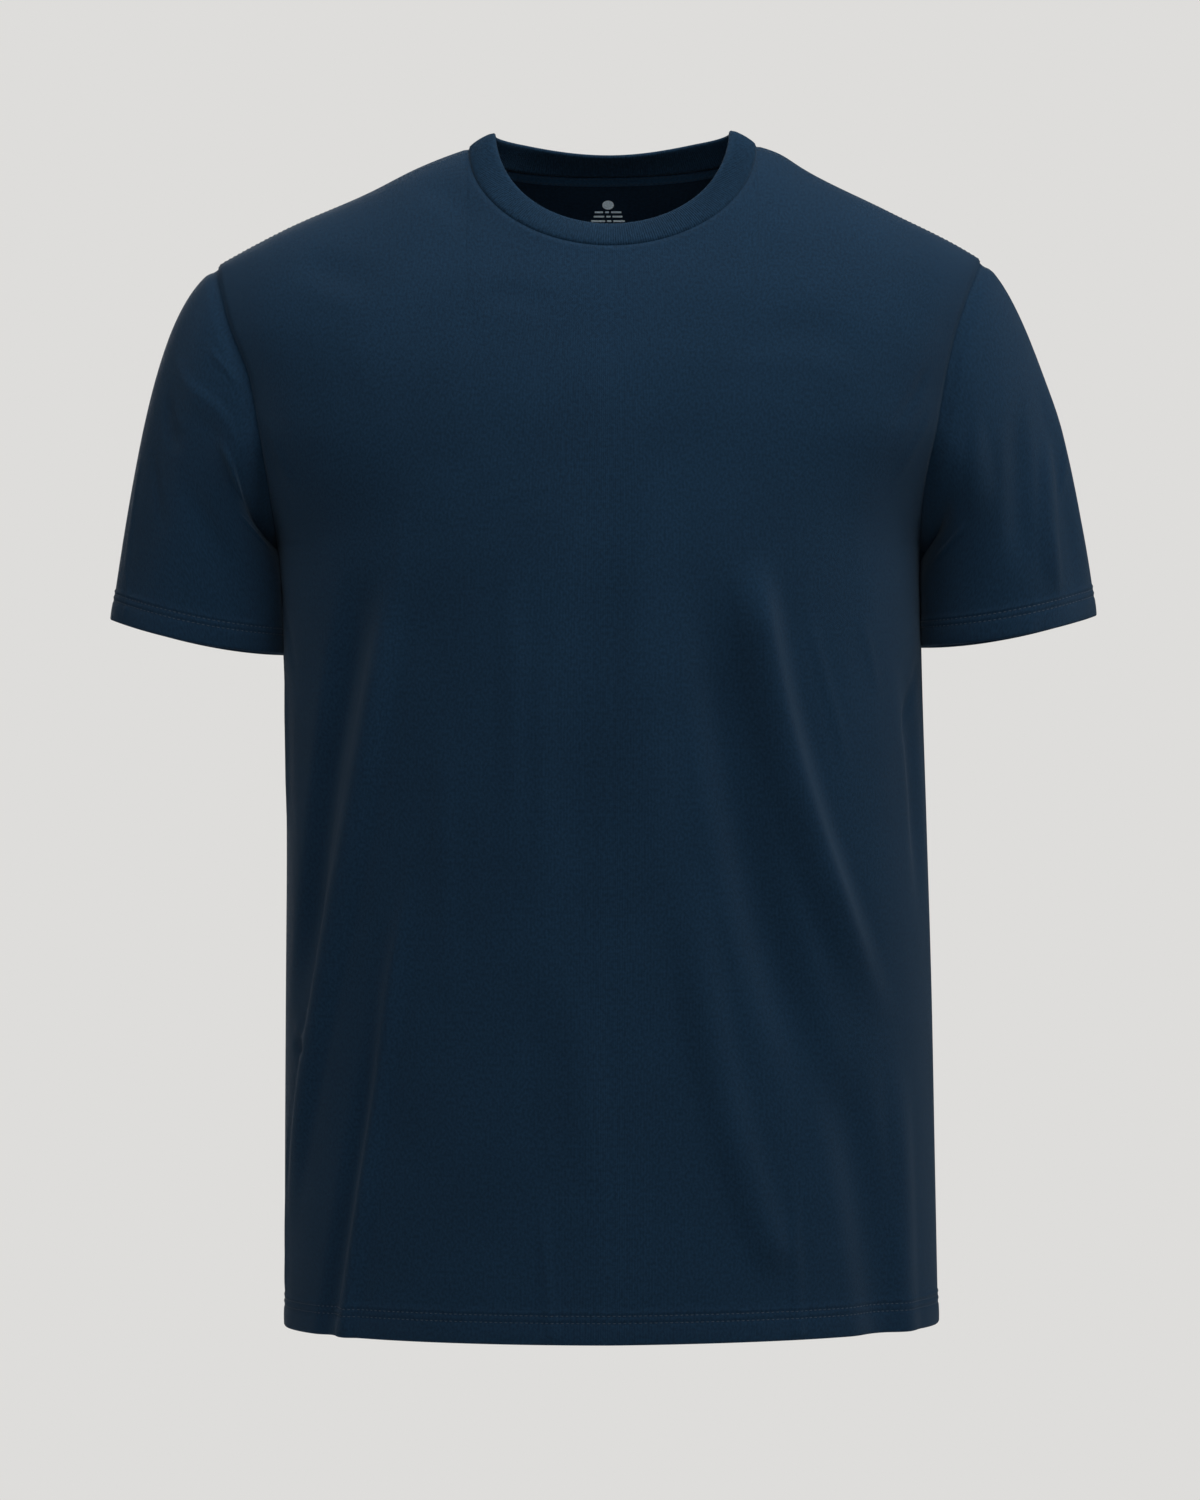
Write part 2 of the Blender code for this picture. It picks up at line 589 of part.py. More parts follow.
def neckband():
    """Ribbed band: a ring whose section is a thin bowed strip with a round free edge."""
    seam, body_normal, turn = neck_seam()
    along = unit(np.roll(seam, -1, axis=0) - np.roll(seam, 1, axis=0))
    lean = np.radians(around(BAND_LEAN, "degrees", turn))[:, None]
    flat = unit(np.cross(body_normal, along))
    rise = flat * np.cos(lean) + body_normal * np.sin(lean)
    normal = body_normal * np.cos(lean) - flat * np.sin(lean)
    outer, inner = [], []
    for k in range(BAND_STEPS + 1):
        s = k / BAND_STEPS
        line = seam + rise * (SEAM_GAP + (BAND_WIDE - SEAM_GAP) * s) + normal * BAND_BOW * arch(s)
        outer.append(line)
        inner.append(line - (normal if k else body_normal) * BAND_WALL)
    edge = [outer[-1] - normal * BAND_WALL / 2 * (1 - math.cos(a)) + rise * BAND_WALL / 2 * math.sin(a)
            for a in np.linspace(0, math.pi, EDGE_STEPS + 1)[1:-1]]
    loop = np.stack(outer + edge + inner[::-1])
    ring = bmesh.new()
    verts = [[ring.verts.new(point * MM) for point in row] for row in loop]
    for row, above in zip(verts, verts[1:] + verts[:1]):
        for c in range(len(row)):
            d = (c + 1) % len(row)
            ring.faces.new((row[c], row[d], above[d], above[c]))
    bmesh.ops.recalc_face_normals(ring, faces=ring.faces)
    return ring


def neck_tape():
    """Tape inside the back neck, just under the seam, made from the back's own two top rows."""
    columns = neck_columns()
    levels = np.array([[TAPE_LEVEL], [TOP_LEVEL]])
    columns, levels = np.broadcast_arrays(columns, levels)
    points, normal = torso(BACK, columns, levels)
    inside = points - normal * WALL
    inside[1] += (inside[0] - inside[1]) * TAPE_INSET
    outer = inside - normal * SEAM_GAP
    return skin(outer, outer - normal * TAPE_WALL, closed=False)


def main():
    for old in list(bpy.data.objects):
        bpy.data.objects.remove(old, do_unlink=True)
    garment = bpy.data.collections.new("crew_neck_t_shirt")
    bpy.context.scene.collection.children.link(garment)
    mount = bpy.data.objects.new("worn_on_shoulders", None)
    garment.objects.link(mount)

    jersey = {name: material(f"{name}_jersey", NAVY, JERSEY_ROUGH)
              for name in ("body_front", "body_back", "sleeve_right", "sleeve_left", "neck_tape")}
    rib = material("neck_rib_knit", NAVY_RIB, RIB_ROUGH)
    solids = (
        ("body_front", panel(FRONT), jersey["body_front"]),
        ("body_back", panel(BACK), jersey["body_back"]),
        ("sleeve_right", sleeve_piece(RIGHT, RIGHT_LINES, RIGHT_CUFF, RIGHT_FOLDS), jersey["sleeve_right"]),
        ("sleeve_left", sleeve_piece(LEFT, LEFT_LINES, LEFT_CUFF, LEFT_FOLDS), jersey["sleeve_left"]),
        ("neck_rib", neckband(), rib),
        ("neck_tape", neck_tape(), jersey["neck_tape"]),
    )
    for name, cloth, finish in solids:
        add_piece(name, cloth, finish, garment, mount)


main()
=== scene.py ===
"""Crew neck t-shirt: the finished cloth over its solids, its stitching, and the stage it hangs in.

Sizes are millimetres and become metres as points are stored. +Z is up, the front faces -Y, and the wearer's
left is +X. "Turn" goes round the torso in degrees: 0 at the front centre, -90 at the right side seam, 90 at
the left one and 180 at the back centre. On a sleeve, turn 0 is outside, 90 in front and 180 underneath.
The cloth follows the same sections, ridge, armholes and cuffs as the solids, with finer rows and creases.
"""

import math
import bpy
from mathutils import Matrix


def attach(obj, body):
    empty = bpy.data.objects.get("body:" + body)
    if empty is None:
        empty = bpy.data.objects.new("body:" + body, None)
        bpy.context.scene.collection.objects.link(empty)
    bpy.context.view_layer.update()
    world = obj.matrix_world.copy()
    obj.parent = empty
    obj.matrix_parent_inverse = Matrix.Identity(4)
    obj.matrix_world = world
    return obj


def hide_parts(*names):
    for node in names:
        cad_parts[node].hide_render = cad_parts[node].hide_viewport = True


bl_info = {
    "name": "Crew Neck T-Shirt",
    "version": (1, 0, 0),
    "blender": (4, 5, 0),
    "location": "3D View > Sidebar > T-Shirt",
    "description": "Builds the cloth, neckband, stitching and stage of a worn crew neck t-shirt",
    "category": "Add Mesh",
}

from collections import namedtuple
from functools import lru_cache, partial

import bmesh
import bpy
import numpy as np
from bpy.props import FloatProperty, FloatVectorProperty, IntProperty, PointerProperty
from mathutils import Matrix, Vector
from mathutils.kdtree import KDTree

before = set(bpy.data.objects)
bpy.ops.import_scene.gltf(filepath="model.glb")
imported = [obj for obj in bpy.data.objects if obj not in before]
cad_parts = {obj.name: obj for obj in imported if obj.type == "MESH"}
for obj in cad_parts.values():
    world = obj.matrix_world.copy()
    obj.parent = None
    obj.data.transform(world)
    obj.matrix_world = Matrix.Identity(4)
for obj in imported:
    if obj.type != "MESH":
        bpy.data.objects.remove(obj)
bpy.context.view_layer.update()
MM = 0.001

# ---- Sizes shared with the solids ----------------------------------------------------------------------
HEM = -700.0            # height of the bottom edge
HEM_RISE = 2.0          # how much higher it hangs on the wearer's left side
ARMPIT = -238.0         # height where side seam and underarm seam meet
YOKE = -140.0           # height where the wall starts to roll back to the shoulders
ARMHOLE_MIDDLE = -168.0  # height where the armhole stands furthest from the ridge
ARMHOLE_DEPTH = 62.0    # from the ridge to the armhole at that height
SHOULDER_DEPTH = 50.0   # roll of the panel at the shoulder point
NECK_PEAK = 0.32        # how much sharper the ridge is beside the neck than on the arm
NECK_PEAK_END = (90.0, 200.0)  # across, where that starts to fade and where it has gone
SHOULDER_POINT = -67.0  # above this height the panels' side edges no longer part
NECK_MIDDLE = 2.0       # the neckline sits this far to the wearer's left
NECK_HALF = 85.5        # half width of the neckline at the shoulder seams
NECK_CORNER = 0.1       # height of the neckline there
NECK_TILT = 0.9         # how much higher that is on the wearer's left, and lower on the right
FRONT_DROP = 64.6       # neckline below its corners in front
BACK_DROP = 10.6        # and behind
TAPE_LEVEL = 1.938      # level of the tape's lower edge on the back
TAPE_INSET = 0.07       # share of the tape's width that it stays below the neckline
TOP_LEVEL = 2.0         # level of the neckline and the shoulder seams
SIDE_EXPONENT = 2.2     # spreads the columns evenly round the side
BODY_CLEAR = 1.0        # a sleeve pressed against the side of the body stays this far off it
PRESS_SOFT = 2.0        # how softly it turns away from it
PRESS_START = 12.0      # below the armpit, where that begins
GIRTH_MEAN = 2.7        # millimetres of cloth for each degree of turn, on average
GIRTH_SWING = 17.2      # how much sooner the flat front uses them up
SLEEVE_SCALE = 1.0      # millimetres of cloth for each degree round a sleeve
SLEEVE_RUN = 0.68       # length of a sleeve line over its speed at the cuff
HEM_STEP = 0.5          # how far a doubled hem stands out

# ---- Sizes of the mesh ---------------------------------------------------------------------------------
SHOULDER_COLUMNS = 59   # columns across a panel from its margin to the neckline's corner
NECK_COLUMNS = 83       # and between those corners
TRUNK_ROWS = 110        # rows from the hem's stitching to the armpit
ARMHOLE_ROWS = 29       # from there to the yoke
YOKE_ROWS = 50          # from the yoke to the margin at the top
SLEEVE_COLUMNS = 216
SLEEVE_ROWS = 84        # rows from a sleeve's margin to its hem's stitching
BAND_ROWS = 10          # rows across each face of the neckband
EDGE_ROWS = 5           # rows round its free edge
POINTS_PER_RIB = 5
STITCH_STEPS = 4        # steps along a stitch
STITCH_SIDES = 5        # and round its thread
STITCH_PARTS = (0.5, 0.28)  # shares of a stitch from its middle to its ends, and to their handles
TAPE_COLUMNS = 160
TAPE_SHARES = (0.0, 0.04, 0.1, 0.17, 0.24, 0.4, 0.6, 0.76, 0.83, 0.9, 0.96, 1.0)  # rows across the tape
TAPE_SEWN_ROWS = (3, 8)  # those that carry its stitching
MARGIN = (0.0, 0.5, 1.1, 1.9, 3.0, 4.5, 6.5, 9.0)  # distances of the finer rows from a sewn edge
HEM_ROWS = (0.0, 0.15, 0.5, 1.1, 2.2, 4.0, 6.5, 9.0, 11.0, 12.0, 12.8, 13.6, 14.9, 16.2, 17.0, 17.8, 18.6,
            19.2, 20.5, 23.0, 26.5)  # distances of the hem's rows from its edge
HEM_LINES = (12.8, 17.0)  # the twin needles sew this far above the edge
HEM_WIDTH = 19.0        # the cloth is turned up this far
HEM_FULLNESS = 0.9      # thickness that the turned-up layer adds, in layers
HEM_SQUEEZE = 0.5       # share of its stitching's pull by which the hem gets thinner
HEM_END = 1.4           # distance over which that layer ends
STITCH_PULL = 1.0       # half width of the groove that a row of stitching pulls
HEM_PUFFS = ((6.0, 5.0, 1.0), (14.9, 1.2, 0.5))  # a hem's swells: height of the middle, half width and share
CUFF_SCALE = 0.94       # the same distances on a sleeve's hem
HEM_CALM = 0.35         # share of the unevenness left in a hem
CALM_HEIGHT = 30.0      # above the hem's edge it grows to its whole over this height
CALM_START = 6.0        # which starts this far up on the body
LIP_WIDTH = 1.7         # cloth rises to its full height over this distance from a seam
LIP_RIDGE = (3.2, 1.6, 0.35)  # ridge beside a seam: distance of its middle, half width and share of the lip
TOPSTITCH = 5.0         # from a shoulder seam to its topstitching
TOPSTITCH_START = 1.5   # which starts this far from the neckband
TOPSTITCH_END = 0.992   # and ends at this share of the way to the armhole
TOPSTITCH_POINTS = 90
TAPE_TONE_AND_PAINTED_LIGHT = 2.4         # times as light as the body's jersey: partly the tape's own lighter tone, partly painted light for the shaded inside of the back neck
TAPE_SEAM = 1.6         # from an edge of the tape to its stitching
TAPE_PULL = 0.5         # half width of the groove that this pulls
TAPE_WALL = 0.8         # thickness of the tape
TAPE_GAP = 0.05         # from the back's inner face to the tape
TAPE_ROLL = 0.5         # the tape thins over this distance from its edge
TAPE_THIN = 0.55        # to this share of its thickness
TAPE_BITE = 0.2         # how deep its stitching pulls in
TAPE_SWELL = 0.15       # added to its thickness all over
CREASE_FADE = 9.0       # creases fade over this distance from a seam
RIPPLE_FADE = 30.0      # and the soft unevenness over this one
TUCK_MIDDLE = 3.2       # a sleeve is drawn in deepest this far from its armhole seam
TUCK_WIDTH = 3.4        # and over about this distance
TUCK_FREE = 70.0        # degrees each way from the underarm seam over which it fades out
BAND_RISE = 2.5         # the neckband rises out of its seam over this distance
RIB_RISE = 1.6          # its ribs grow over this one
RIB_END = 0.88          # from this share of its width they soften towards the free edge
RIB_LEFT = 0.4          # where this share of them is left
DENSE = 1600            # samples that measure an armhole or a neckline
NECK_SAMPLES = 240      # samples across the neckline
SIDE_SAMPLES = 180      # and on each side of it
SEAM_SAMPLE = 0.8       # millimetres between points that measure the distance to a seam
NOISE_ROWS = 64         # rows of cells before the unevenness repeats
NUDGE = 0.004           # step across or along, as a share, that measures a surface's direction
TURN_NUDGE = 0.9        # step of turn for the same, in degrees
CLIMB_NUDGE = 0.5       # and step of climb
PROBE = 0.02            # step of level or share that measures how fast cloth runs from a seam
SETTLE = 12             # rounds in which a point's height and place across settle together
SHARP = 60.0            # edges that turn more than these degrees stay sharp

FRONT, BACK = -1.0, 1.0
RIGHT, LEFT = -1.0, 1.0


def table_of(kind, *rows):
    """A table whose rows are named tuples of a kind."""
    return [kind(*row) for row in rows]


# ---- Numbers of the finishes ---------------------------------------------------------------------------
NOISE_SPAN = (0.3, 0.7)  # a noise's values that darken and lighten a colour fully
FIBRE_DETAIL = 3.0      # finer levels in the noise of fibres
PATCH_DETAIL = 2.0      # and in that of soft patches
PATCH = 60.0            # size of the jersey's soft patches
RIB_PATCH = 40.0        # and of the rib's
PATCH_SHARE = 0.04      # how much lighter and darker they are
RIB_SPECKLE = 1.2       # the rib's fibres show this much more
FIBRE_STRETCH = (1.0, 0.7, 1.0)  # the jersey's fibres run a little upwards
RIB_STRETCH = (1.0, 0.6, 1.0)  # and the rib's a little more
FIBRE_LIFT = 0.8        # relief of the jersey's fibres, as a share of its depth
RIB_FIBRE_LIFT = 1.2    # and of the rib's
COURSE_LIFT = 0.3       # relief of the rib's courses
LOOP_SLANT = 1.3        # rows that a loop climbs over a whole column
LOOP_LIFT = 0.35        # relief of the loops
WALE_GROOVE = -1.6      # fall from a column's middle, for a whole column's width
ROUGHNESS = (0.86, 0.98)  # of the jersey, between and on its fibres
RIB_ROUGHNESS = 0.92
SHEEN_ROUGHNESS = 0.42
FLOOR_ROUGHNESS = 0.9

# ---- Sizes of the stage --------------------------------------------------------------------------------
CAMERA_ACROSS = -5.4
CAMERA_HEIGHT = -358.0
SENSOR = 36.0
SIGHT = 50.0            # metres the camera sees
FLOOR_RADIUS = 3.2      # metres
FLOOR_POINTS = 96
FLOOR_FADE = (0.45, 0.98)  # shares of the radius where the floor starts to fade out and where it has gone
LIGHT_AIM = (0.0, 0.0, -0.3)
Softbox = namedtuple("Softbox", "name place wide tall")
SOFTBOXES = table_of(
    Softbox,
    ("front", (0.0, -3.0, 0.1), 1.6, 1.6),
    ("key", (1.3, -1.5, 1.3), 1.0, 1.0),
    ("fill", (-1.9, -1.3, 0.7), 1.2, 1.6),
    ("top", (0.1, -0.55, 1.6), 1.6, 1.0),
    ("side", (1.9, -0.4, 1.1), 1.0, 1.2),
    ("rear", (-0.5, 2.6, 0.5), 1.8, 1.8),
)

# ---- Tables shared with the solids ---------------------------------------------------------------------
Section = namedtuple("Section", "height right left front back square")
SECTIONS = table_of(
    Section,
    (-700, 192.0, 195.0, 112, 123, 2.00),
    (-600, 192.0, 193.0, 115, 126, 2.05),
    (-500, 191.5, 191.0, 118, 128, 2.10),
    (-400, 191.0, 188.0, 121, 131, 2.20),
    (-300, 193.0, 185.0, 122, 134, 2.20),
    (-238, 196.5, 184.0, 119, 135, 2.25),
    (-200, 200.5, 185.5, 115, 135, 2.30),
    (-169, 205.0, 191.5, 110, 134, 2.30),
    (-138, 211.0, 197.0, 104, 133, 2.30),
    (-110, 222.0, 204.0, 98, 133, 2.30),
    (-85, 229.0, 213.0, 93, 133, 2.30),
    (-67, 232.5, 220.5, 88, 133, 2.30),
    (0, 234.0, 222.0, 76, 132, 2.30),
)

Ridge = namedtuple("Ridge", "across height")
RIDGE = table_of(
    Ridge,
    (-246, -79.0), (-232.5, -71.0), (-194, -50.2), (-140, -26.0),
    (-116, -13.5), (-83.5, -0.8), (-55, 6.5), (0, 8.0),
    (59, 6.5), (87.5, 1.0), (101, -3.8), (115, -12.6),
    (165, -38.0), (212, -62.0), (220.5, -67.2), (235, -77.0),
)

Lean = namedtuple("Lean", "turn degrees")
BAND_LEAN = table_of(
    Lean,
    (0, -7), (45, -3), (90, 14), (135, 20),
    (180, 4), (225, 20), (270, 14), (315, -3),
)

# Folds: where each starts and ends, sideways bow, rise (a trough is negative), half width, and the shares of
# its length over which it grows and fades. Torso folds go by turn and height, sleeve folds by turn and
# distance down the cloth from the armhole seam.
Fold = namedtuple("Fold", "turn height to_turn to_height bow rise width grow fade")
TORSO_FOLDS = table_of(
    Fold,
    (-36, -247, -80, -657, 5, 7.0, 15, 0.20, 0.30),
    (-43, -245, -72, -529, -5, -7.5, 19, 0.25, 0.30),
    (-35, -428, -52, -704, 1, 3.6, 11, 0.25, 0.02),
    (-40, -498, -58, -704, 0, -3.0, 12, 0.35, 0.02),
    (24, -243, 56, -522, -17, 9.5, 20, 0.16, 0.35),
    (17, -249, 42, -599, -16, -8.5, 25, 0.25, 0.40),
    (9, -249, 4, -455, -4, 3.6, 26, 0.35, 0.40),
    (12, -414, 29, -664, -12, 4.4, 18, 0.35, 0.10),
    (3, -180, -6, -497, -6, -3.6, 20, 0.35, 0.40),
    (39, -519, 53, -704, 4, -5.0, 24, 0.40, 0.02),
    (59, -527, 62, -704, 2, 3.0, 16, 0.40, 0.02),
    (67, -296, 73, -465, 5, -4.0, 15, 0.35, 0.40),
    (-5, -483, -3, -614, 1, 2.2, 15, 0.40, 0.35),
    (-51, -71, -31, -90, -1, -1.6, 18, 0.40, 0.45),
    (152, -230, 128, -470, -6, 4.5, 18, 0.35, 0.40),
    (143, -300, 118, -560, -4, -5.5, 28, 0.35, 0.40),
    (131, -430, 112, -690, 5, 4.5, 18, 0.35, 0.25),
    (-150, -240, -131, -500, 6, 5.0, 17, 0.35, 0.40),
    (-140, -320, -122, -600, 3, -5.5, 28, 0.35, 0.40),
    (-126, -470, -110, -702, 0, 4.0, 18, 0.40, 0.04),
    (171, -260, 168, -560, -5, -3.0, 28, 0.45, 0.45),
    (-174, -330, -171, -640, 4, 2.6, 24, 0.45, 0.45),
    (160, -480, 154, -704, 0, -3.0, 24, 0.45, 0.02),
    (-160, -520, -156, -704, 0, -3.0, 22, 0.45, 0.02),
)
RIGHT_FOLDS = table_of(
    Fold,
    (27, -80, 112, -26, -5, 1.2, 14, 0.40, 0.45),
    (35, -88, 66, -96, -8, -1.8, 14, 0.40, 0.45),
    (84, -66, 130, -74, 11, 1.8, 14, 0.40, 0.45),
    (66, -110, 120, -170, 0, -1.6, 16, 0.45, 0.45),
    (318, -60, 236, -128, 6, 3.0, 16, 0.40, 0.45),
    (300, -96, 232, -170, 3, -2.8, 18, 0.45, 0.45),
)
LEFT_FOLDS = table_of(
    Fold,
    (14, -70, 30, -190, 3, 3.4, 15, 0.35, 0.35),
    (33, -97, 58, -165, 7, 2.8, 11, 0.30, 0.30),
    (88, -35, 97, -120, 6, 2.0, 18, 0.35, 0.40),
    (322, -70, 240, -140, 6, 3.0, 16, 0.40, 0.45),
    (298, -110, 236, -176, 3, -2.6, 16, 0.45, 0.45),
)

SleeveLine = namedtuple("SleeveLine", "turn out forward down inward up")
RIGHT_LINES = table_of(
    SleeveLine,
    (0, 34, 0, 23, 17, 113),
    (55, 32, 8, 24, 15, 94),
    (105, 24, 3, 22, 8, 64),
    (150, 11, 0, 10, 2, 36),
    (180, 3, 0, 12, 4, 28),
    (210, 11, 0, 10, 2, 36),
    (255, 24, -3, 22, 8, 64),
    (305, 32, -8, 24, 16, 92),
)
LEFT_LINES = table_of(
    SleeveLine,
    (0, 25, 0, 17, 10, 93),
    (55, 27, 8, 20, 9, 84),
    (105, 24, 3, 22, 7, 62),
    (150, 11, 0, 10, 2, 36),
    (180, 3, 0, 12, 4, 28),
    (210, 11, 0, 10, 2, 36),
    (255, 24, -3, 22, 7, 62),
    (305, 30, -12, 20, 6, 84),
)
Cuff = namedtuple("Cuff", "outer outer_height inner inner_height deep middle dip")
RIGHT_CUFF = Cuff(296.4, -280.6, 188.0, -301.2, 60.0, 10.0, 4.6)
LEFT_CUFF = Cuff(289.7, -278.2, 181.0, -296.6, 60.0, 10.0, 4.6)

# ---- Tables of the cloth and the mark ------------------------------------------------------------------
# The size each piece is cut to before it is sewn, and the share of that rectangle that it fills.
Cut = namedtuple("Cut", "wide long share")

# The plain mark inside the neck: bars under a round, each with its distance below the round's middle, its
# whole width, height, and the widths of the parts it is broken into.
Mark = namedtuple("Mark", "across height wide tall")
Bar = namedtuple("Bar", "below wide tall parts")
MARK_ACROSS = -0.5
MARK_HEIGHT = -25.8
MARK_FLATNESS = 0.69    # height of the round over its width, on the sloping cloth
MARK_BARS = table_of(
    Bar,
    (3.9, 16.4, 0.9, (5.2, 2.4, 6.4)),
    (6.3, 17.6, 0.9, (6.6, 2.8, 6.2)),
    (8.8, 20.6, 0.9, (8.6, 2.8, 7.2)),
    (11.5, 13.4, 0.9, (5.6, 6.2)),
)
MARK_LIFT = 0.12        # the ink's face stands this far off the cloth
MARK_SINK = -0.1        # and its base this far in it
MARK_POINTS = 32        # points round the round
MARK_INSET = 0.6        # share of an outline at which its inner ring of points lies
DASH_POINTS = 7         # points round each end of a bar

# ---- Finer creases -------------------------------------------------------------------------------------
TORSO_CREASES = table_of(
    Fold,
    (25, -245, 58, -524, -16, 1.5, 8, 0.15, 0.35),
    (-37, -297, -72, -617, 5, 1.0, 7, 0.25, 0.30),
    (-34, -414, -51, -698, 0, 1.2, 5, 0.25, 0.02),
    (-35, -215, -38, -276, 2, 1.0, 6, 0.30, 0.40),
    (-15, -235, -15, -449, 1, 1.4, 12, 0.30, 0.40),
    (-10, -297, -10, -428, 0, 1.0, 10, 0.35, 0.40),
    (-28, -332, -26, -518, -2, 1.2, 11, 0.35, 0.40),
    (-11, -483, -12, -614, 0, -1.2, 12, 0.35, 0.40),
    (-10, -607, -8, -698, -1, 1.1, 5, 0.35, 0.02),
    (31, -608, 32, -698, 0, 1.2, 5, 0.35, 0.02),
    (35, -269, 47, -380, 0, 0.9, 5, 0.35, 0.40),
    (50, -276, 57, -331, 0, 0.7, 5, 0.35, 0.40),
    (15, -130, 54, -145, 20, -1.1, 20, 0.35, 0.40),
    (-19, -97, -5, -108, 7, -0.8, 13, 0.35, 0.40),
    (-26, -19, -18, -60, 4, -1.2, 14, 0.35, 0.40),
    (-21, -202, -13, -192, 0, 0.35, 4, 0.30, 0.40),
    (-19, -216, -9, -205, 0, 0.35, 4, 0.30, 0.40),
    (-16, -231, -6, -216, 0, 0.35, 4, 0.30, 0.40),
    (-12, -213, -4, -197, 0, 0.3, 4, 0.30, 0.40),
    (-72, -158, 72, -158, 0, 1.3, 45, 0.25, 0.25),
    (-76, -232, 76, -240, 0, 0.9, 65, 0.25, 0.25),
    (-75, -522, -63, -528, 1, 2.0, 4, 0.30, 0.45),
    (-76, -531, -62, -536, 1, -2.2, 5, 0.30, 0.45),
    (-82, -300, -84, -420, 1, 1.2, 7, 0.35, 0.40),
    (-80, -560, -84, -690, 1, 1.0, 7, 0.35, 0.15),
    (70, -130, 56, -175, 3, -1.2, 8, 0.30, 0.45),
    (78, -150, 60, -205, 3, 1.0, 8, 0.30, 0.45),
    (-76, -160, -62, -215, -3, 1.0, 8, 0.35, 0.45),
    (80, -300, 66, -360, -4, -1.2, 7, 0.30, 0.45),
    (-86, -250, -70, -320, 4, -1.0, 7, 0.30, 0.45),
    (150, -240, 139, -352, -2, 1.5, 6, 0.25, 0.40),
    (141, -330, 129, -470, 2, 1.4, 6, 0.30, 0.40),
    (128, -480, 116, -640, 2, 1.2, 6, 0.30, 0.35),
    (118, -600, 113, -700, 1, -1.2, 8, 0.35, 0.05),
    (-149, -250, -141, -370, 2, 1.6, 6, 0.25, 0.40),
    (-140, -350, -129, -500, 2, 1.5, 6, 0.30, 0.35),
    (-131, -480, -119, -650, 1, 1.2, 6, 0.30, 0.35),
    (-121, -610, -117, -700, 1, -1.2, 8, 0.35, 0.05),
    (106, -300, 113, -380, 3, -1.3, 7, 0.30, 0.45),
    (-103, -255, -112, -360, -3, -1.3, 7, 0.30, 0.45),
    (171, -560, 169, -690, 1, 0.8, 6, 0.40, 0.15),
    (-172, -600, -170, -696, 1, 0.8, 6, 0.40, 0.10),
    (157, -130, 141, -215, -4, 1.0, 10, 0.35, 0.45),
    (-156, -130, -141, -220, 4, 1.0, 10, 0.35, 0.45),
)
RIGHT_CREASES = table_of(
    Fold,
    (27, -76, 115, -17, -5, 0.6, 7, 0.30, 0.40),
    (49, -30, 93, -4, -2, 0.8, 5, 0.30, 0.40),
    (35, -126, 62, -151, 1, -1.0, 8, 0.30, 0.40),
    (27, -195, 36, -208, 5, 0.9, 4, 0.30, 0.10),
    (112, -104, 146, -130, 1, 1.1, 5, 0.30, 0.45),
    (146, -60, 168, -74, 0, -1.0, 5, 0.35, 0.45),
    (300, -76, 250, -132, -2, 1.2, 6, 0.30, 0.40),
    (284, -120, 236, -168, 1, 1.0, 6, 0.30, 0.45),
    (236, -70, 204, -84, 1, -1.1, 5, 0.30, 0.45),
    (18, -140, 30, -214, 1, 0.8, 7, 0.35, 0.40),
)
LEFT_CREASES = table_of(
    Fold,
    (47, -64, 79, -150, 7, -2.4, 15, 0.35, 0.30),
    (21, -109, 41, -129, -3, 0.9, 4, 0.30, 0.30),
    (52, -130, 56, -162, 1, 0.8, 6, 0.30, 0.30),
    (66, -3, 86, -10, 0, -1.0, 9, 0.30, 0.30),
    (110, -104, 146, -128, 1, 1.0, 5, 0.30, 0.45),
    (70, -160, 100, -204, 1, 0.9, 6, 0.30, 0.45),
    (302, -80, 250, -136, -2, 1.2, 6, 0.30, 0.40),
    (282, -128, 238, -170, 1, 1.0, 6, 0.30, 0.45),
    (238, -66, 206, -82, 1, -1.1, 5, 0.30, 0.45),
    (140, -14, 220, -14, 0, 0.7, 9, 0.35, 0.35),
)

SLEEVES = {
    RIGHT: (RIGHT_LINES, RIGHT_CUFF, RIGHT_FOLDS, RIGHT_CREASES),
    LEFT: (LEFT_LINES, LEFT_CUFF, LEFT_FOLDS, LEFT_CREASES),
}

# Soft unevenness of the hanging cloth: cells round the torso, cell height, amount and seed.
Ripple = namedtuple("Ripple", "cells height amount seed")
TORSO_RIPPLES = table_of(
    Ripple,
    (14, 230.0, 0.9, 11),
    (34, 120.0, 0.35, 12),
    (80, 34.0, 0.10, 13),
)
SLEEVE_RIPPLES = table_of(
    Ripple,
    (6, 110.0, 0.7, 21),
    (15, 50.0, 0.25, 22),
    (34, 24.0, 0.08, 23),
)


# ---- Curves and tables ---------------------------------------------------------------------------------
def curve_through(keys, values, at):
    """Smooth curve through a table: cubic between rows, with each row's slope from its neighbours."""
    keys, values = np.asarray(keys, float), np.asarray(values, float)
    step = np.diff(keys)
    rise = np.diff(values) / step
    slope = np.empty_like(values)
    slope[1:-1] = (rise[:-1] * step[1:] + rise[1:] * step[:-1]) / (step[1:] + step[:-1])
    slope[0], slope[-1] = rise[0], rise[-1]
    row = np.clip(np.searchsorted(keys, at) - 1, 0, len(keys) - 2)
    part = np.clip((at - keys[row]) / step[row], 0.0, 1.0)
    late = part * part * (3 - 2 * part)
    start = slope[row] * step[row] * part * (1 - part) ** 2
    end = slope[row + 1] * step[row] * part * part * (1 - part)
    return values[row] * (1 - late) + values[row + 1] * late + start - end


def around(rows, column, turn):
    """Smooth curve through a table that closes on itself after 360 degrees."""
    keys = [row.turn for row in rows]
    values = [getattr(row, column) for row in rows]
    keys = [keys[-2] - 360, keys[-1] - 360] + keys + [keys[0] + 360, keys[1] + 360]
    values = values[-2:] + values + values[:2]
    return curve_through(keys, values, turn)


def section(column, height):
    """One column of the torso's sections at a height."""
    return curve_through([s.height for s in SECTIONS], [getattr(s, column) for s in SECTIONS], height)


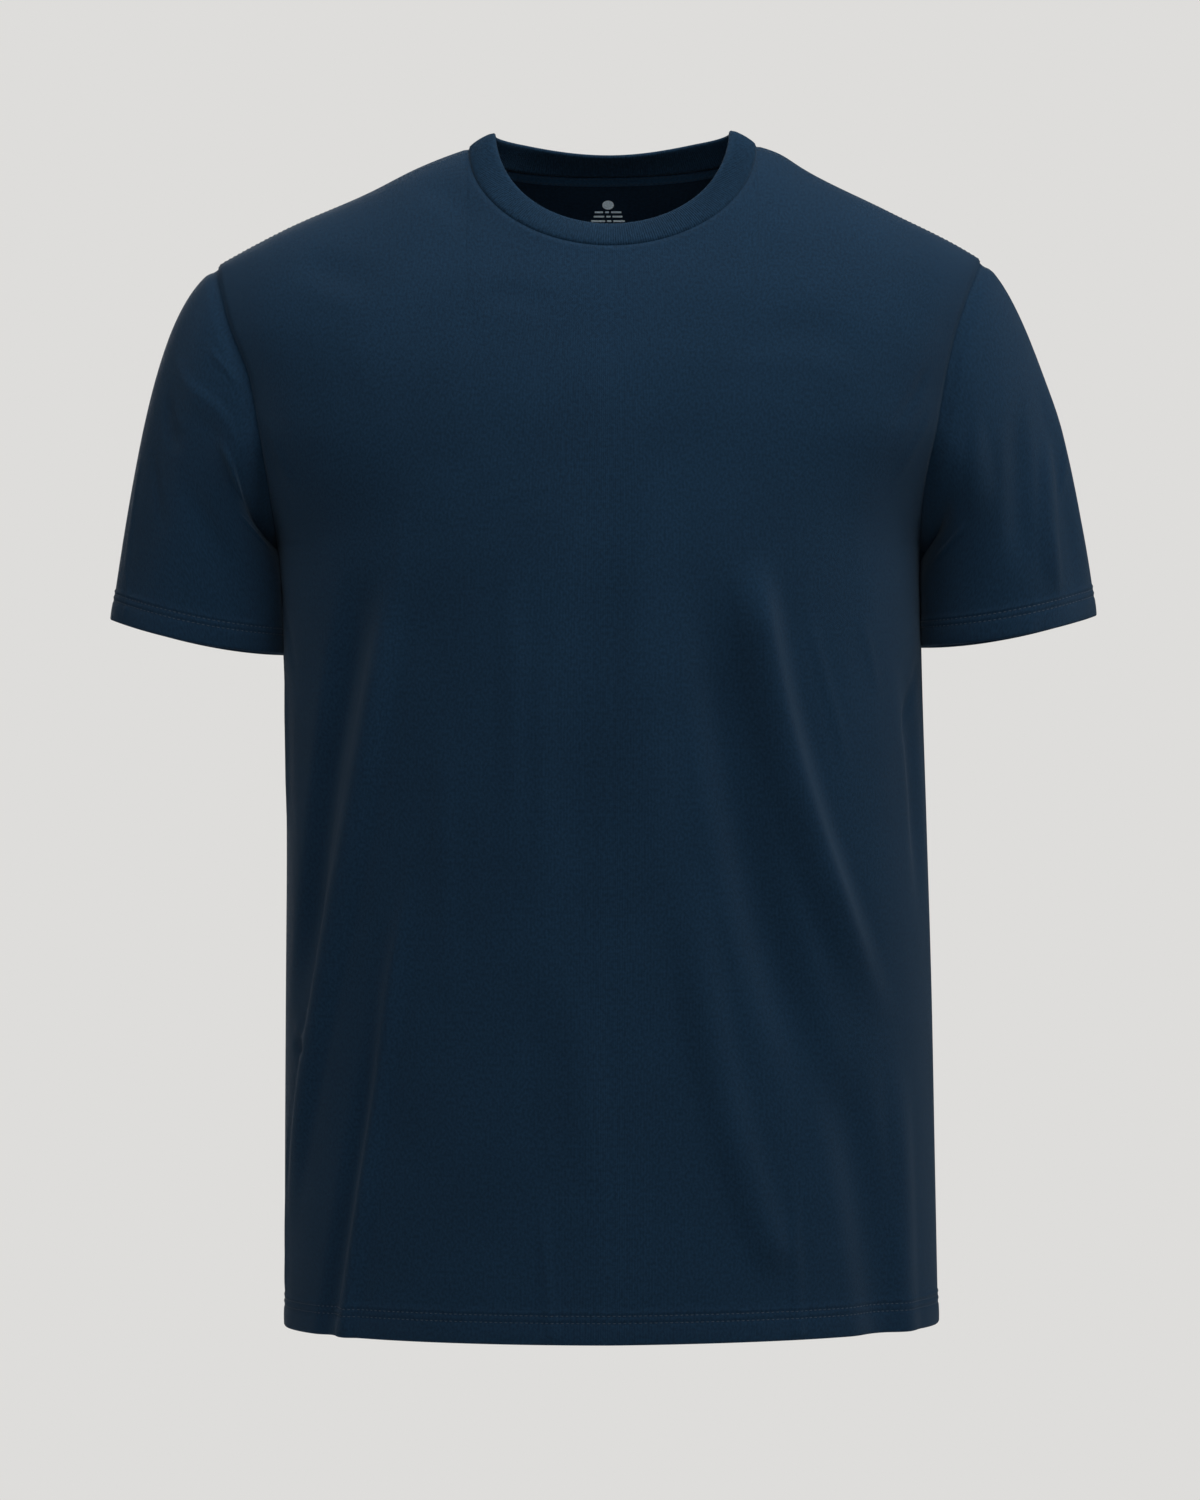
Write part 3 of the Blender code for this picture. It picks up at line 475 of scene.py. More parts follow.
def ridge(across):
    """Height of the shoulder ridge."""
    return curve_through([r.across for r in RIDGE], [r.height for r in RIDGE], across)


def ease(part):
    """Smooth step from 0 to 1."""
    part = np.clip(part, 0.0, 1.0)
    return part * part * (3 - 2 * part)


def arch(part):
    """Parabola of height 1 over 0 to 1."""
    return 4 * part * (1 - part)


def bump(distance, width):
    """Bell of height 1 at distance 0."""
    return np.exp(-((distance / width) ** 2))


def unit(vectors):
    """Vectors at length 1."""
    return vectors / np.linalg.norm(vectors, axis=-1, keepdims=True)


def run_along(line):
    """Length of a line up to each of its points."""
    return np.concatenate([[0.0], np.cumsum(np.linalg.norm(np.diff(line, axis=0), axis=-1))])


def points_at(line, run, at):
    """Points of a line at some lengths along it."""
    return np.stack([np.interp(at, run, line[:, axis]) for axis in range(3)], axis=-1)


def fold_relief(folds, lay, turn, height):
    """How far the folds lift the cloth at a turn and height; lay turns degrees into millimetres of cloth."""
    lift = np.zeros(np.broadcast(turn, height).shape)
    whole = lay(360.0)
    for fold in folds:
        run = lay(fold.to_turn) - lay(fold.turn)
        run -= whole * round(run / whole)
        fall = fold.to_height - fold.height
        length = math.hypot(run, fall)
        side = lay(turn) - lay(fold.turn)
        side = side - whole * np.round((side - run / 2) / whole)
        down = height - fold.height
        part = (side * run + down * fall) / length ** 2
        off = (down * run - side * fall) / length - fold.bow * arch(part)
        bell = np.cos(np.clip(off / fold.width, -1, 1) * math.pi / 2) ** 2
        lift = lift + fold.rise * bell * ease(part / fold.grow) * ease((1 - part) / fold.fade)
    return lift


def ripple_relief(ripples, turn, height):
    """Soft unevenness that closes round the piece."""
    lift = np.zeros(np.broadcast(turn, height).shape)
    for ripple in ripples:
        values = np.random.default_rng(ripple.seed).uniform(-1, 1, (ripple.cells, NOISE_ROWS))
        a = np.mod(turn, 360.0) / 360.0 * ripple.cells
        b = height / ripple.height
        i, j = np.floor(a).astype(int), np.floor(b).astype(int)
        s, t = ease(a - i), ease(b - j)
        i, k = i % ripple.cells, (i + 1) % ripple.cells
        low = values[i, j % NOISE_ROWS] * (1 - s) + values[k, j % NOISE_ROWS] * s
        high = values[i, (j + 1) % NOISE_ROWS] * (1 - s) + values[k, (j + 1) % NOISE_ROWS] * s
        lift = lift + ripple.amount * (low * (1 - t) + high * t)
    return lift


# ---- Torso ---------------------------------------------------------------------------------------------
def lay_torso(turn):
    """Millimetres of cloth from the front centre to a turn."""
    return GIRTH_MEAN * turn + GIRTH_SWING * np.sin(np.radians(2 * turn))


def half_width(across, height):
    """From the middle to the side seam, or to the armhole above the armpit."""
    height = np.minimum(height, SHOULDER_POINT)
    return np.where(across < 0, section("right", height), section("left", height))


def armhole_depth(height):
    """Depth of a panel at its side edge: none on the side seam, most at the middle of the armhole."""
    low = ease((height - ARMPIT) / (ARMHOLE_MIDDLE - ARMPIT)) ** (1 / section("square", height))
    high = ease((height - ARMHOLE_MIDDLE) / (SHOULDER_POINT - ARMHOLE_MIDDLE))
    return ARMHOLE_DEPTH * low - (ARMHOLE_DEPTH - SHOULDER_DEPTH) * high


def neck_height(side, x):
    """Height of the neckline, or of the shoulder ridge beside it."""
    share = np.clip((x - NECK_MIDDLE) / NECK_HALF, -1.0, 1.0)
    drop = FRONT_DROP if side == FRONT else BACK_DROP
    line = NECK_CORNER + NECK_TILT * share - drop * np.sqrt(1 - share * share)
    return np.where(np.abs(share) < 1.0, np.minimum(line, ridge(x)), ridge(x))


def climb_at(side, across, level):
    """Climb of a row: its height up to the yoke line, and past it one more for each degree of roll."""
    across, level = np.broadcast_arrays(across, level)
    top = np.zeros(across.shape)
    for _ in range(SETTLE):
        x = across * half_width(across, top)
        top = neck_height(side, x)
    roll = 90 - np.degrees(np.arccos(np.clip((top - YOKE) / (ridge(x) - YOKE), -1.0, 1.0)))
    low = HEM + (YOKE - HEM) * np.clip(level, 0.0, 1.0)
    rise = HEM_RISE * np.maximum(across, 0.0) * np.clip((ARMPIT - low) / (ARMPIT - HEM), 0.0, 1.0)
    return low + rise + roll * np.clip(level - 1, 0.0, 1.0)


def wall(side, across, climb):
    """Smooth wall: across runs -1 to 1 between the side edges, climb from the hem to the shoulder ridge."""
    across, climb = np.broadcast_arrays(across, climb)
    roll = np.radians(90 - np.clip(climb - YOKE, 0.0, 90.0))
    height = np.minimum(climb, YOKE)
    for _ in range(SETTLE):
        x = across * half_width(across, height)
        height = np.where(climb > YOKE, YOKE + (ridge(x) - YOKE) * np.cos(roll), height)
    square = section("square", height)
    depth = section("front" if side == FRONT else "back", height)
    width = half_width(across, height) / (1 - (armhole_depth(height) / depth) ** square) ** (1 / square)
    share = np.clip(np.abs(x) / width, 0.0, 1.0)
    start, stop = NECK_PEAK_END
    peak = 1 + NECK_PEAK * (1 - ease((np.abs(x) - start) / (stop - start)))
    y = side * depth * (1 - share ** square) ** (1 / square) * np.sin(roll) ** peak
    return np.stack([x, y, height], axis=-1)


def wall_normal(side, across, climb):
    """Outward direction of the smooth wall."""
    low, high = np.maximum(climb - CLIMB_NUDGE, HEM), np.minimum(climb + CLIMB_NUDGE, YOKE + 90)
    left, right = np.maximum(across - NUDGE, -1.0), np.minimum(across + NUDGE, 1.0)
    up = wall(side, across, high) - wall(side, across, low)
    along = wall(side, right, climb) - wall(side, left, climb)
    return unit(np.cross(along, up)) * -side


def torso_turn(side, across):
    """Turn of a column, in degrees."""
    turn = np.sign(across) * np.degrees(np.arcsin(np.abs(across) ** (SIDE_EXPONENT / 2)))
    return turn if side == FRONT else 180.0 - turn


def torso(side, across, level):
    """Folded wall and its outward direction: level 0 is the hem, 1 the yoke line, 2 the top edge."""
    climb = climb_at(side, across, level)
    normal = wall_normal(side, across, climb)
    points = wall(side, across, climb)
    lift = fold_relief(TORSO_FOLDS, lay_torso, torso_turn(side, across), points[..., 2])
    return points + normal * lift[..., None], normal


def level_at(height):
    """Level of a height below the yoke line."""
    return (height - HEM) / (YOKE - HEM)


# ---- Sleeves -------------------------------------------------------------------------------------------
def armhole_point(edge, turn):
    """Points of the armhole at turns of the sleeve, which run evenly along its seam."""
    turn = np.mod(turn, 360.0)
    points = np.zeros(turn.shape + (3,))
    dense = np.linspace(level_at(ARMPIT), TOP_LEVEL, DENSE)
    for side, mine in ((FRONT, turn <= 180.0), (BACK, turn > 180.0)):
        line = wall(side, np.full(DENSE, edge), climb_at(side, edge, dense))
        run = run_along(line)
        share = 1 - turn[mine] / 180.0 if side == FRONT else turn[mine] / 180.0 - 1
        points[mine] = points_at(line, run, share * run[-1])
    return points


def lay_sleeve(turn):
    """Millimetres of cloth from the outside of a sleeve to a turn."""
    return SLEEVE_SCALE * turn


def cuff_speed(lines, turn):
    """Millimetres a sleeve line covers per share at its cuff: three times its second handle."""
    return 3 * np.hypot(around(lines, "up", turn), around(lines, "inward", turn))


def sleeve_base(edge, lines, cuff, turn, share):
    """Smooth sleeve: share runs 0 at the armhole to 1 at the cuff."""
    turn, share = np.broadcast_arrays(turn, share)
    angle = np.radians(turn)
    mid_x, mid_z = (cuff.outer + cuff.inner) / 2, (cuff.outer_height + cuff.inner_height) / 2
    end = np.stack([
        edge * (mid_x + (cuff.outer - cuff.inner) / 2 * np.cos(angle)),
        cuff.middle - cuff.deep * np.sin(angle),
        mid_z + (cuff.outer_height - cuff.inner_height) / 2 * np.cos(angle) - cuff.dip * np.sin(angle) ** 2,
    ], axis=-1)
    first = np.stack([
        edge * around(lines, "out", turn), -around(lines, "forward", turn), -around(lines, "down", turn),
    ], axis=-1)
    second = np.stack([
        -edge * around(lines, "inward", turn), np.zeros(turn.shape), around(lines, "up", turn),
    ], axis=-1)
    start = armhole_point(edge, turn)
    t = share[..., None]
    points = ((1 - t) ** 3 * start + 3 * (1 - t) ** 2 * t * (start + first)
              + 3 * (1 - t) * t ** 2 * (end + second) + t ** 3 * end)
    return press_clear(edge, points)


def press_clear(edge, points):
    """Points under the armpit, moved out of the side of the body."""
    x, y, z = points[..., 0] * edge, points[..., 1], points[..., 2]
    depth = np.where(y < 0, section("front", z), section("back", z))
    square = section("square", z)
    side = half_width(edge, z) * (1 - np.clip(np.abs(y) / depth, 0.0, 1.0) ** square) ** (1 / square)
    side = side + BODY_CLEAR
    out = (x + side + np.sqrt((x - side) ** 2 + PRESS_SOFT ** 2)) / 2
    x = x + (out - x) * ease((ARMPIT - z) / PRESS_START)
    return np.stack([x * edge, y, z], axis=-1)


def sleeve(edge, lines, cuff, folds, turn, share):
    """Folded sleeve, its outward direction, and the distance down the cloth from the armhole."""
    base = partial(sleeve_base, edge, lines, cuff)
    down = base(turn, np.minimum(share + NUDGE, 1.0)) - base(turn, np.maximum(share - NUDGE, 0.0))
    ring = base(turn + TURN_NUDGE, share) - base(turn - TURN_NUDGE, share)
    normal = unit(np.cross(ring, down)) * edge
    below_seam = -SLEEVE_RUN * cuff_speed(lines, turn) * share
    lift = fold_relief(folds, lay_sleeve, turn, below_seam)
    return base(turn, share) + normal * lift[..., None], normal, below_seam


# ---- Meshes --------------------------------------------------------------------------------------------
def corners(table, closed):
    """The four corners of each cell of a grid of numbers, as rows of four."""
    if closed:
        table = np.concatenate([table, table[:, :1]], axis=1)
    return np.stack([table[:-1, :-1], table[:-1, 1:], table[1:, 1:], table[1:, :-1]], axis=-1).reshape(-1, 4)


def rim(ids, closed):
    """Directed edges round the open sides of a grid, each as (from, to)."""
    ring = np.concatenate([ids, ids[:, :1]], axis=1) if closed else ids
    bottom = np.stack([ring[0, :-1], ring[0, 1:]], axis=-1)
    top = np.stack([ring[-1, 1:], ring[-1, :-1]], axis=-1)
    if closed:
        return np.concatenate([bottom, top])
    right = np.stack([ids[:-1, -1], ids[1:, -1]], axis=-1)
    left = np.stack([ids[1:, 0], ids[:-1, 0]], axis=-1)
    return np.concatenate([bottom, right, top, left])


def shell(name, outer, inner, lay, closed):
    """Closed mesh between two grids of points; lay is their places on the flat cloth, for the UV map."""
    rows, columns = outer.shape[:2]
    count = rows * columns
    ids = np.arange(count).reshape(rows, columns)
    faces = corners(ids, closed)
    edge = rim(ids, closed)
    strip = np.stack([edge[:, 1], edge[:, 0], edge[:, 0] + count, edge[:, 1] + count], axis=-1)
    every = np.concatenate([faces, faces[:, ::-1] + count, strip])
    a, b, _, d = (outer.reshape(-1, 3)[faces[len(faces) // 2, k]] for k in range(4))
    through = (outer - inner).reshape(-1, 3)[faces[len(faces) // 2, 0]]
    flip = np.dot(np.cross(b - a, d - a), through) < 0
    if flip:
        every = every[:, ::-1]
    mesh = bpy.data.meshes.new(name)
    points = np.concatenate([outer.reshape(-1, 3), inner.reshape(-1, 3)]) * MM
    mesh.from_pydata(points, [], every)
    wide = lay.shape[1]
    cells = corners(np.arange(rows * wide).reshape(rows, wide), False)
    spot_of = (ids // columns * wide + ids % columns).reshape(-1)
    start, end = spot_of[edge[:, 0]], spot_of[edge[:, 1]]
    where = np.concatenate([cells, cells[:, ::-1], np.stack([end, start, start, end], axis=-1)])
    if flip:
        where = where[:, ::-1]
    add_places(mesh, lay, where)
    mesh.shade_smooth()
    mesh.set_sharp_from_angle(angle=math.radians(SHARP))
    mesh.validate()
    return mesh


def add_values(mesh, title, kind, key, values):
    """A named attribute at each point of a mesh."""
    layer = mesh.attributes.new(title, kind, "POINT")
    layer.data.foreach_set(key, values.astype(np.float32).ravel())


def add_places(mesh, lay, cells):
    """UV map of places on the flat cloth; cells tells which place each corner of a face has."""
    layer = mesh.uv_layers.new(name="cloth")
    layer.uv.foreach_set("vector", (lay.reshape(-1, 2)[cells.ravel()] * MM).astype(np.float32).ravel())


def riding(name, mesh):
    """An object of a mesh that rides on the garment's one body."""
    piece = bpy.data.objects.new(name, mesh)
    bpy.context.scene.collection.objects.link(piece)
    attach(piece, "root")
    return piece


def add_piece(name, mesh, finish, node):
    """A piece of the garment that stands for a solid."""
    mesh.materials.append(finish)
    piece = riding(name, mesh)
    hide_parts(node)
    return piece


# ---- Cloth ---------------------------------------------------------------------------------------------
Cloth = namedtuple("Cloth", "wall lip tuck hem_puff hem_bite creases unevenness")
Band = namedtuple("Band", "width wall bow ribs")


def distance_to(tree, points):
    """Distance from each point of a grid to the nearest point in a tree."""
    flat = points.reshape(-1, 3)
    return np.array([tree.find(place)[2] for place in flat]).reshape(points.shape[:-1])


def tree_of(line):
    """Search tree of a line of points."""
    tree = KDTree(len(line))
    for index, place in enumerate(line):
        tree.insert(place, index)
    tree.balance()
    return tree


def refine(line, step):
    """A line of points with more between them."""
    run = run_along(line)
    return points_at(line, run, np.linspace(0, run[-1], max(2, int(run[-1] / step))))


def hem_profile(distance, scale, cloth):
    """How far a hem stands out of the smooth wall, and how thick it is, at a distance above its edge."""
    turned = 1 - ease((distance - scale * HEM_WIDTH) / HEM_END)
    sewn = sum(bump(distance - scale * line, STITCH_PULL) for line in HEM_LINES)
    puff = sum(share * bump(distance - scale * middle, width) for middle, width, share in HEM_PUFFS)
    out = HEM_STEP * turned + cloth.hem_puff * puff - cloth.hem_bite * sewn
    thick = cloth.wall * (1 + HEM_FULLNESS * turned) - HEM_SQUEEZE * cloth.hem_bite * sewn
    radius = thick / 2
    short = np.clip(radius - distance, 0.0, None)
    round_off = radius - np.sqrt(np.maximum(radius ** 2 - short ** 2, 0.0))
    return out - round_off, thick - 2 * round_off


def seam_lip(distance, cloth):
    """Cloth beside a seam stands a little proud of the seam itself, over its allowance."""
    middle, width, share = LIP_RIDGE
    return cloth.lip * (1 - bump(distance, LIP_WIDTH)) + share * cloth.lip * bump(distance - middle, width)


def fine_relief(creases, ripples, lay, turn, down, sewn, above_hem, cloth):
    """How far creases, unevenness and the seams' lips lift the cloth at a distance from its seams and hem."""
    crease = fold_relief(creases, lay, turn, down) * ease(sewn / CREASE_FADE)
    calm = HEM_CALM + (1 - HEM_CALM) * ease(above_hem / CALM_HEIGHT)
    uneven = ripple_relief(ripples, turn, down) * ease(sewn / RIPPLE_FADE) * calm
    return cloth.creases * crease + cloth.unevenness * uneven + seam_lip(sewn, cloth)


def dense_across():
    """Places across the torso, closest round the neckline's corners, and the indexes of those corners."""
    x = NECK_MIDDLE + NECK_HALF * np.sin(np.linspace(-math.pi / 2, math.pi / 2, NECK_SAMPLES + 1))
    middle = x / half_width(x, 0.0)
    sides = []
    for corner in (-middle[0], middle[-1]):
        first = math.asin(corner ** (SIDE_EXPONENT / 2))
        angles = np.linspace(first, math.pi / 2, SIDE_SAMPLES + 1)[1:]
        sides.append(np.sin(angles) ** (2 / SIDE_EXPONENT))
    across = np.concatenate([-sides[0][::-1], middle, sides[1]])
    return across, SIDE_SAMPLES, SIDE_SAMPLES + NECK_SAMPLES


@lru_cache(maxsize=None)
def panel_seams(side):
    """Search tree of a panel's sewn edges: its side seams, armholes, shoulders and neckline."""
    level = np.linspace(0, TOP_LEVEL, DENSE)
    across = dense_across()[0]
    lines = [
        torso(side, np.full(DENSE, RIGHT), level)[0],
        torso(side, across, np.full(across.shape, TOP_LEVEL))[0],
        torso(side, np.full(DENSE, LEFT), level[::-1])[0],
    ]
    return tree_of(refine(np.concatenate(lines), SEAM_SAMPLE))


def panel_face(side, across, level, cloth):
    """Outer and inner face of the front or back at places on it, and its outward direction."""
    points, normal = torso(side, across, level)
    turn, height = torso_turn(side, across), points[..., 2]
    sewn = distance_to(panel_seams(side), points)
    rise = level * (YOKE - HEM)
    hem, thick = hem_profile(rise, 1.0, cloth)
    lift = fine_relief(TORSO_CREASES, TORSO_RIPPLES, lay_torso, turn, height, sewn, rise - CALM_START, cloth)
    outer = points + normal * (lift + hem)[..., None]
    return outer, outer - normal * thick[..., None], normal


def top_speed(side, across):
    """Millimetres of cloth per level at a panel's top edge."""
    high = torso(side, across, np.full(across.shape, TOP_LEVEL))[0]
    low = torso(side, across, np.full(across.shape, TOP_LEVEL - PROBE))[0]
    return np.linalg.norm(high - low, axis=-1) / PROBE


def panel_levels(side, across):
    """Levels of a panel's rows at each place across, hem first, with finer rows at the hem and the top."""
    speed = top_speed(side, across)
    trunk = np.linspace(HEM + HEM_ROWS[-1], ARMPIT, TRUNK_ROWS)[1:]
    armhole = np.linspace(ARMPIT, YOKE, ARMHOLE_ROWS)[1:]
    heights = [HEM + rise for rise in HEM_ROWS] + list(trunk) + list(armhole)
    rows = [np.full(across.shape, level_at(height)) for height in heights]
    last = TOP_LEVEL - MARGIN[-1] / speed
    rows += [1 + (last - 1) * row / YOKE_ROWS for row in range(1, YOKE_ROWS + 1)]
    rows += [TOP_LEVEL - distance / speed for distance in MARGIN[-2::-1]]
    return np.stack(rows)


def even_places(run, start, end):
    """Lengths along a row of each column: fine at both sewn sides and even between the neckline's corners."""
    right = np.linspace(MARGIN[-1], run[start], SHOULDER_COLUMNS)
    middle = np.linspace(run[start], run[end], NECK_COLUMNS)[1:]
    left = np.linspace(run[end], run[-1] - MARGIN[-1], SHOULDER_COLUMNS)[1:]
    return np.concatenate([MARGIN[:-1], right, middle, left, run[-1] - np.array(MARGIN[-2::-1])])


def panel_grid(side):
    """Place across and level of every point of a panel."""
    dense, start, end = dense_across()
    levels = panel_levels(side, dense)
    points = wall(side, dense, climb_at(side, dense, levels))
    across, level = [], []
    for line, heights in zip(points, levels):
        run = run_along(line)
        places = even_places(run, start, end)
        across.append(np.interp(places, run, dense))
        level.append(np.interp(places, run, heights))
    return np.array(across), np.array(level)


def column_run(points):
    """Length of cloth down each column, from its first row."""
    steps = np.linalg.norm(np.diff(points, axis=0), axis=-1)
    return np.concatenate([np.zeros((1, points.shape[1])), np.cumsum(steps, axis=0)])


@lru_cache(maxsize=None)
def panel(side, cloth):
    """Outer and inner points of the front or back, its outward directions and its flat places."""
    across, level = panel_grid(side)
    outer, inner, normal = panel_face(side, across, level, cloth)
    smooth = wall(side, across, climb_at(side, across, level))
    lay = np.stack([lay_torso(torso_turn(side, across)), column_run(smooth)], axis=-1)
    return outer, inner, normal, lay


@lru_cache(maxsize=None)
def sleeve_cloth(edge, cloth):
    """Outer and inner points of a sleeve from its underarm seam round, its directions and its flat places."""
    lines, cuff, folds, creases = SLEEVES[edge]
    turns = 180.0 + np.arange(SLEEVE_COLUMNS) * 360.0 / SLEEVE_COLUMNS
    start, after = (sleeve_base(edge, lines, cuff, turns, np.full(turns.shape, at)) for at in (0.0, PROBE))
    speed = np.linalg.norm(after - start, axis=-1) / PROBE
    hem_rows = [1 - CUFF_SCALE * distance / cuff_speed(lines, turns) for distance in HEM_ROWS[::-1]]
    first = MARGIN[-1] / speed
    middle = [first + (hem_rows[0] - first) * row / SLEEVE_ROWS for row in range(SLEEVE_ROWS)]
    share = np.stack([distance / speed for distance in MARGIN[:-1]] + middle + hem_rows)
    turn = np.broadcast_to(turns, share.shape)
    points, normal, below_seam = sleeve(edge, lines, cuff, folds, turn, share)
    sewn = distance_to(tree_of(refine(np.concatenate([points[0], points[0][:1]]), SEAM_SAMPLE)), points)
    from_hem = (1 - share) * cuff_speed(lines, turn)
    hem, thick = hem_profile(from_hem, CUFF_SCALE, cloth)
    underarm = bump(np.mod(turn, 360.0) - 180.0, TUCK_FREE)
    drawn = cloth.tuck * (1 - underarm) * bump(sewn - TUCK_MIDDLE, TUCK_WIDTH)
    lift = fine_relief(creases, SLEEVE_RIPPLES, lay_sleeve, turn, below_seam, sewn, from_hem, cloth)
    outer = points + normal * (lift - drawn + hem)[..., None]
    inner = outer - normal * thick[..., None]
    wide = lay_sleeve(np.concatenate([turn - 180.0, turn[:, :1] + 180.0], axis=1))
    run = column_run(points)
    lay = np.stack([wide, np.concatenate([run, run[:, :1]], axis=1)], axis=-1)
    return outer, inner, normal, lay


# ---- Neckband and tape ---------------------------------------------------------------------------------
def neck_seam(count):
    """Even steps round the neckline: points, the body's outward directions, turns, and the whole length."""
    angle = np.linspace(-math.pi / 2, math.pi / 2, DENSE + 1)
    x = NECK_MIDDLE + NECK_HALF * np.sin(angle)
    across = x / half_width(x, 0.0)
    top = np.full(across.shape, TOP_LEVEL)
    front, back = torso(FRONT, across, top), torso(BACK, across[::-1], top)
    seam, normal = (np.concatenate([front[k][:-1], back[k]]) for k in (0, 1))
    turn = np.concatenate([np.degrees(angle)[:-1], 180.0 - np.degrees(angle)[::-1]])
    run = run_along(seam)
    at = np.arange(count) * run[-1] / count
    seam, normal = (points_at(line, run, at) for line in (seam, normal))
    return seam, unit(normal), np.interp(at, run, turn), run[-1]


def band_loop(band, lip):
    """Rows of points from the neckband's seam over its edge and back, their shares of ribs, its length."""
    seam, body_normal, turn, length = neck_seam(band.ribs * POINTS_PER_RIB)
    along = unit(np.roll(seam, -POINTS_PER_RIB, axis=0) - np.roll(seam, POINTS_PER_RIB, axis=0))
    lean = np.radians(around(BAND_LEAN, "degrees", turn))[:, None]
    flat = unit(np.cross(body_normal, along))
    rise = flat * np.cos(lean) + body_normal * np.sin(lean)
    normal = body_normal * np.cos(lean) - flat * np.sin(lean)
    outer, inner, grip = [], [], []
    for share in np.linspace(0.0, 1.0, BAND_ROWS):
        up = share * band.width
        line = seam + rise * up + normal * (lip * ease(up / BAND_RISE) + band.bow * arch(share))
        outer.append(line)
        inner.append(line - (normal if share else body_normal) * band.wall)
        grip.append(ease(up / RIB_RISE) * (1 - (1 - RIB_LEFT) * ease((share - RIB_END) / (1 - RIB_END))))
    edge = [outer[-1] - normal * band.wall / 2 * (1 - math.cos(a)) + rise * band.wall / 2 * math.sin(a)
            for a in np.linspace(0, math.pi, EDGE_ROWS + 2)[1:-1]]
    grips = np.array(grip + [RIB_LEFT] * EDGE_ROWS + grip[::-1])
    return np.stack(outer + edge + inner[::-1]), grips, length


def ring_mesh(name, loop, grips, length):
    """Closed ring with its UV map, and each point's share of the way round and of the ribs."""
    rows, columns = loop.shape[:2]
    ids = np.arange(rows * columns).reshape(rows, columns)
    faces = corners(np.concatenate([ids, ids[:1]]), True)
    up = run_along(np.concatenate([loop[:, 0], loop[:1, 0]]))
    lay = np.stack(np.meshgrid(np.arange(columns + 1) / columns * length, up), axis=-1)
    spots = corners(np.arange(lay.shape[0] * lay.shape[1]).reshape(lay.shape[:2]), False)
    a, b, d = (loop.reshape(-1, 3)[faces[0, k]] for k in (0, 1, 3))
    if np.dot(np.cross(b - a, d - a), a - loop[:, 0].mean(axis=0)) < 0:
        faces, spots = faces[:, ::-1], spots[:, ::-1]
    mesh = bpy.data.meshes.new(name)
    mesh.from_pydata(loop.reshape(-1, 3) * MM, [], faces)
    share = np.broadcast_to(np.arange(columns) / columns, (rows, columns))
    grip = np.broadcast_to(grips[:, None], (rows, columns))
    add_values(mesh, "round", "FLOAT", "value", share)
    add_values(mesh, "grip", "FLOAT", "value", grip)
    add_places(mesh, lay, spots)
    mesh.shade_smooth()
    mesh.validate()
    return mesh


def tape_grid(cloth):
    """Near and far faces of the tape inside the back neck, its direction and its flat places."""
    angle = np.linspace(-math.pi / 2, math.pi / 2, TAPE_COLUMNS + 2)[1:-1]
    x = NECK_MIDDLE + NECK_HALF * np.sin(angle)
    shares = np.array(TAPE_SHARES)[:, None]
    highest = TOP_LEVEL - TAPE_INSET * (TOP_LEVEL - TAPE_LEVEL)
    across, level = np.broadcast_arrays(x / half_width(x, 0.0), TAPE_LEVEL + (highest - TAPE_LEVEL) * shares)
    _, under, normal = panel_face(BACK, across, level, cloth)
    wide = np.linalg.norm(under[-1] - under[0], axis=-1)
    from_edge = np.minimum(shares, 1 - shares) * wide
    sewn = bump(from_edge - TAPE_SEAM, TAPE_PULL)
    near = under - normal * TAPE_GAP
    thick = TAPE_WALL * (TAPE_THIN + (1 - TAPE_THIN) * ease(from_edge / TAPE_ROLL)) - TAPE_BITE * sewn
    far = near - normal * (thick + TAPE_SWELL)[..., None]
    lay = np.stack(np.broadcast_arrays(x, shares * wide), axis=-1)
    return near, far, -normal, lay


# ---- Neck mark -----------------------------------------------------------------------------------------
def inside_back(places, cloth, off):
    """Points off the back's inner face, at places given as (across, height) in millimetres."""
    x, height = places[..., 0], places[..., 1]
    reach = ridge(x) - YOKE
    level = 1 + np.arcsin((height - YOKE) / reach) / np.arcsin((neck_height(BACK, x) - YOKE) / reach)
    _, inner, normal = panel_face(BACK, x / half_width(x, height), level, cloth)
    return inner - normal * off


def dash(middle, wide, tall):
    """Outline of a bar with round ends."""
    ends = []
    for side, first in ((1, 90), (-1, 270)):
        angles = np.radians(first - np.linspace(0, 180, DASH_POINTS))
        end = np.array(middle) + (side * (wide - tall) / 2, 0)
        ends.append(end + tall / 2 * np.stack([np.cos(angles), np.sin(angles)], axis=-1))
    return np.concatenate(ends)


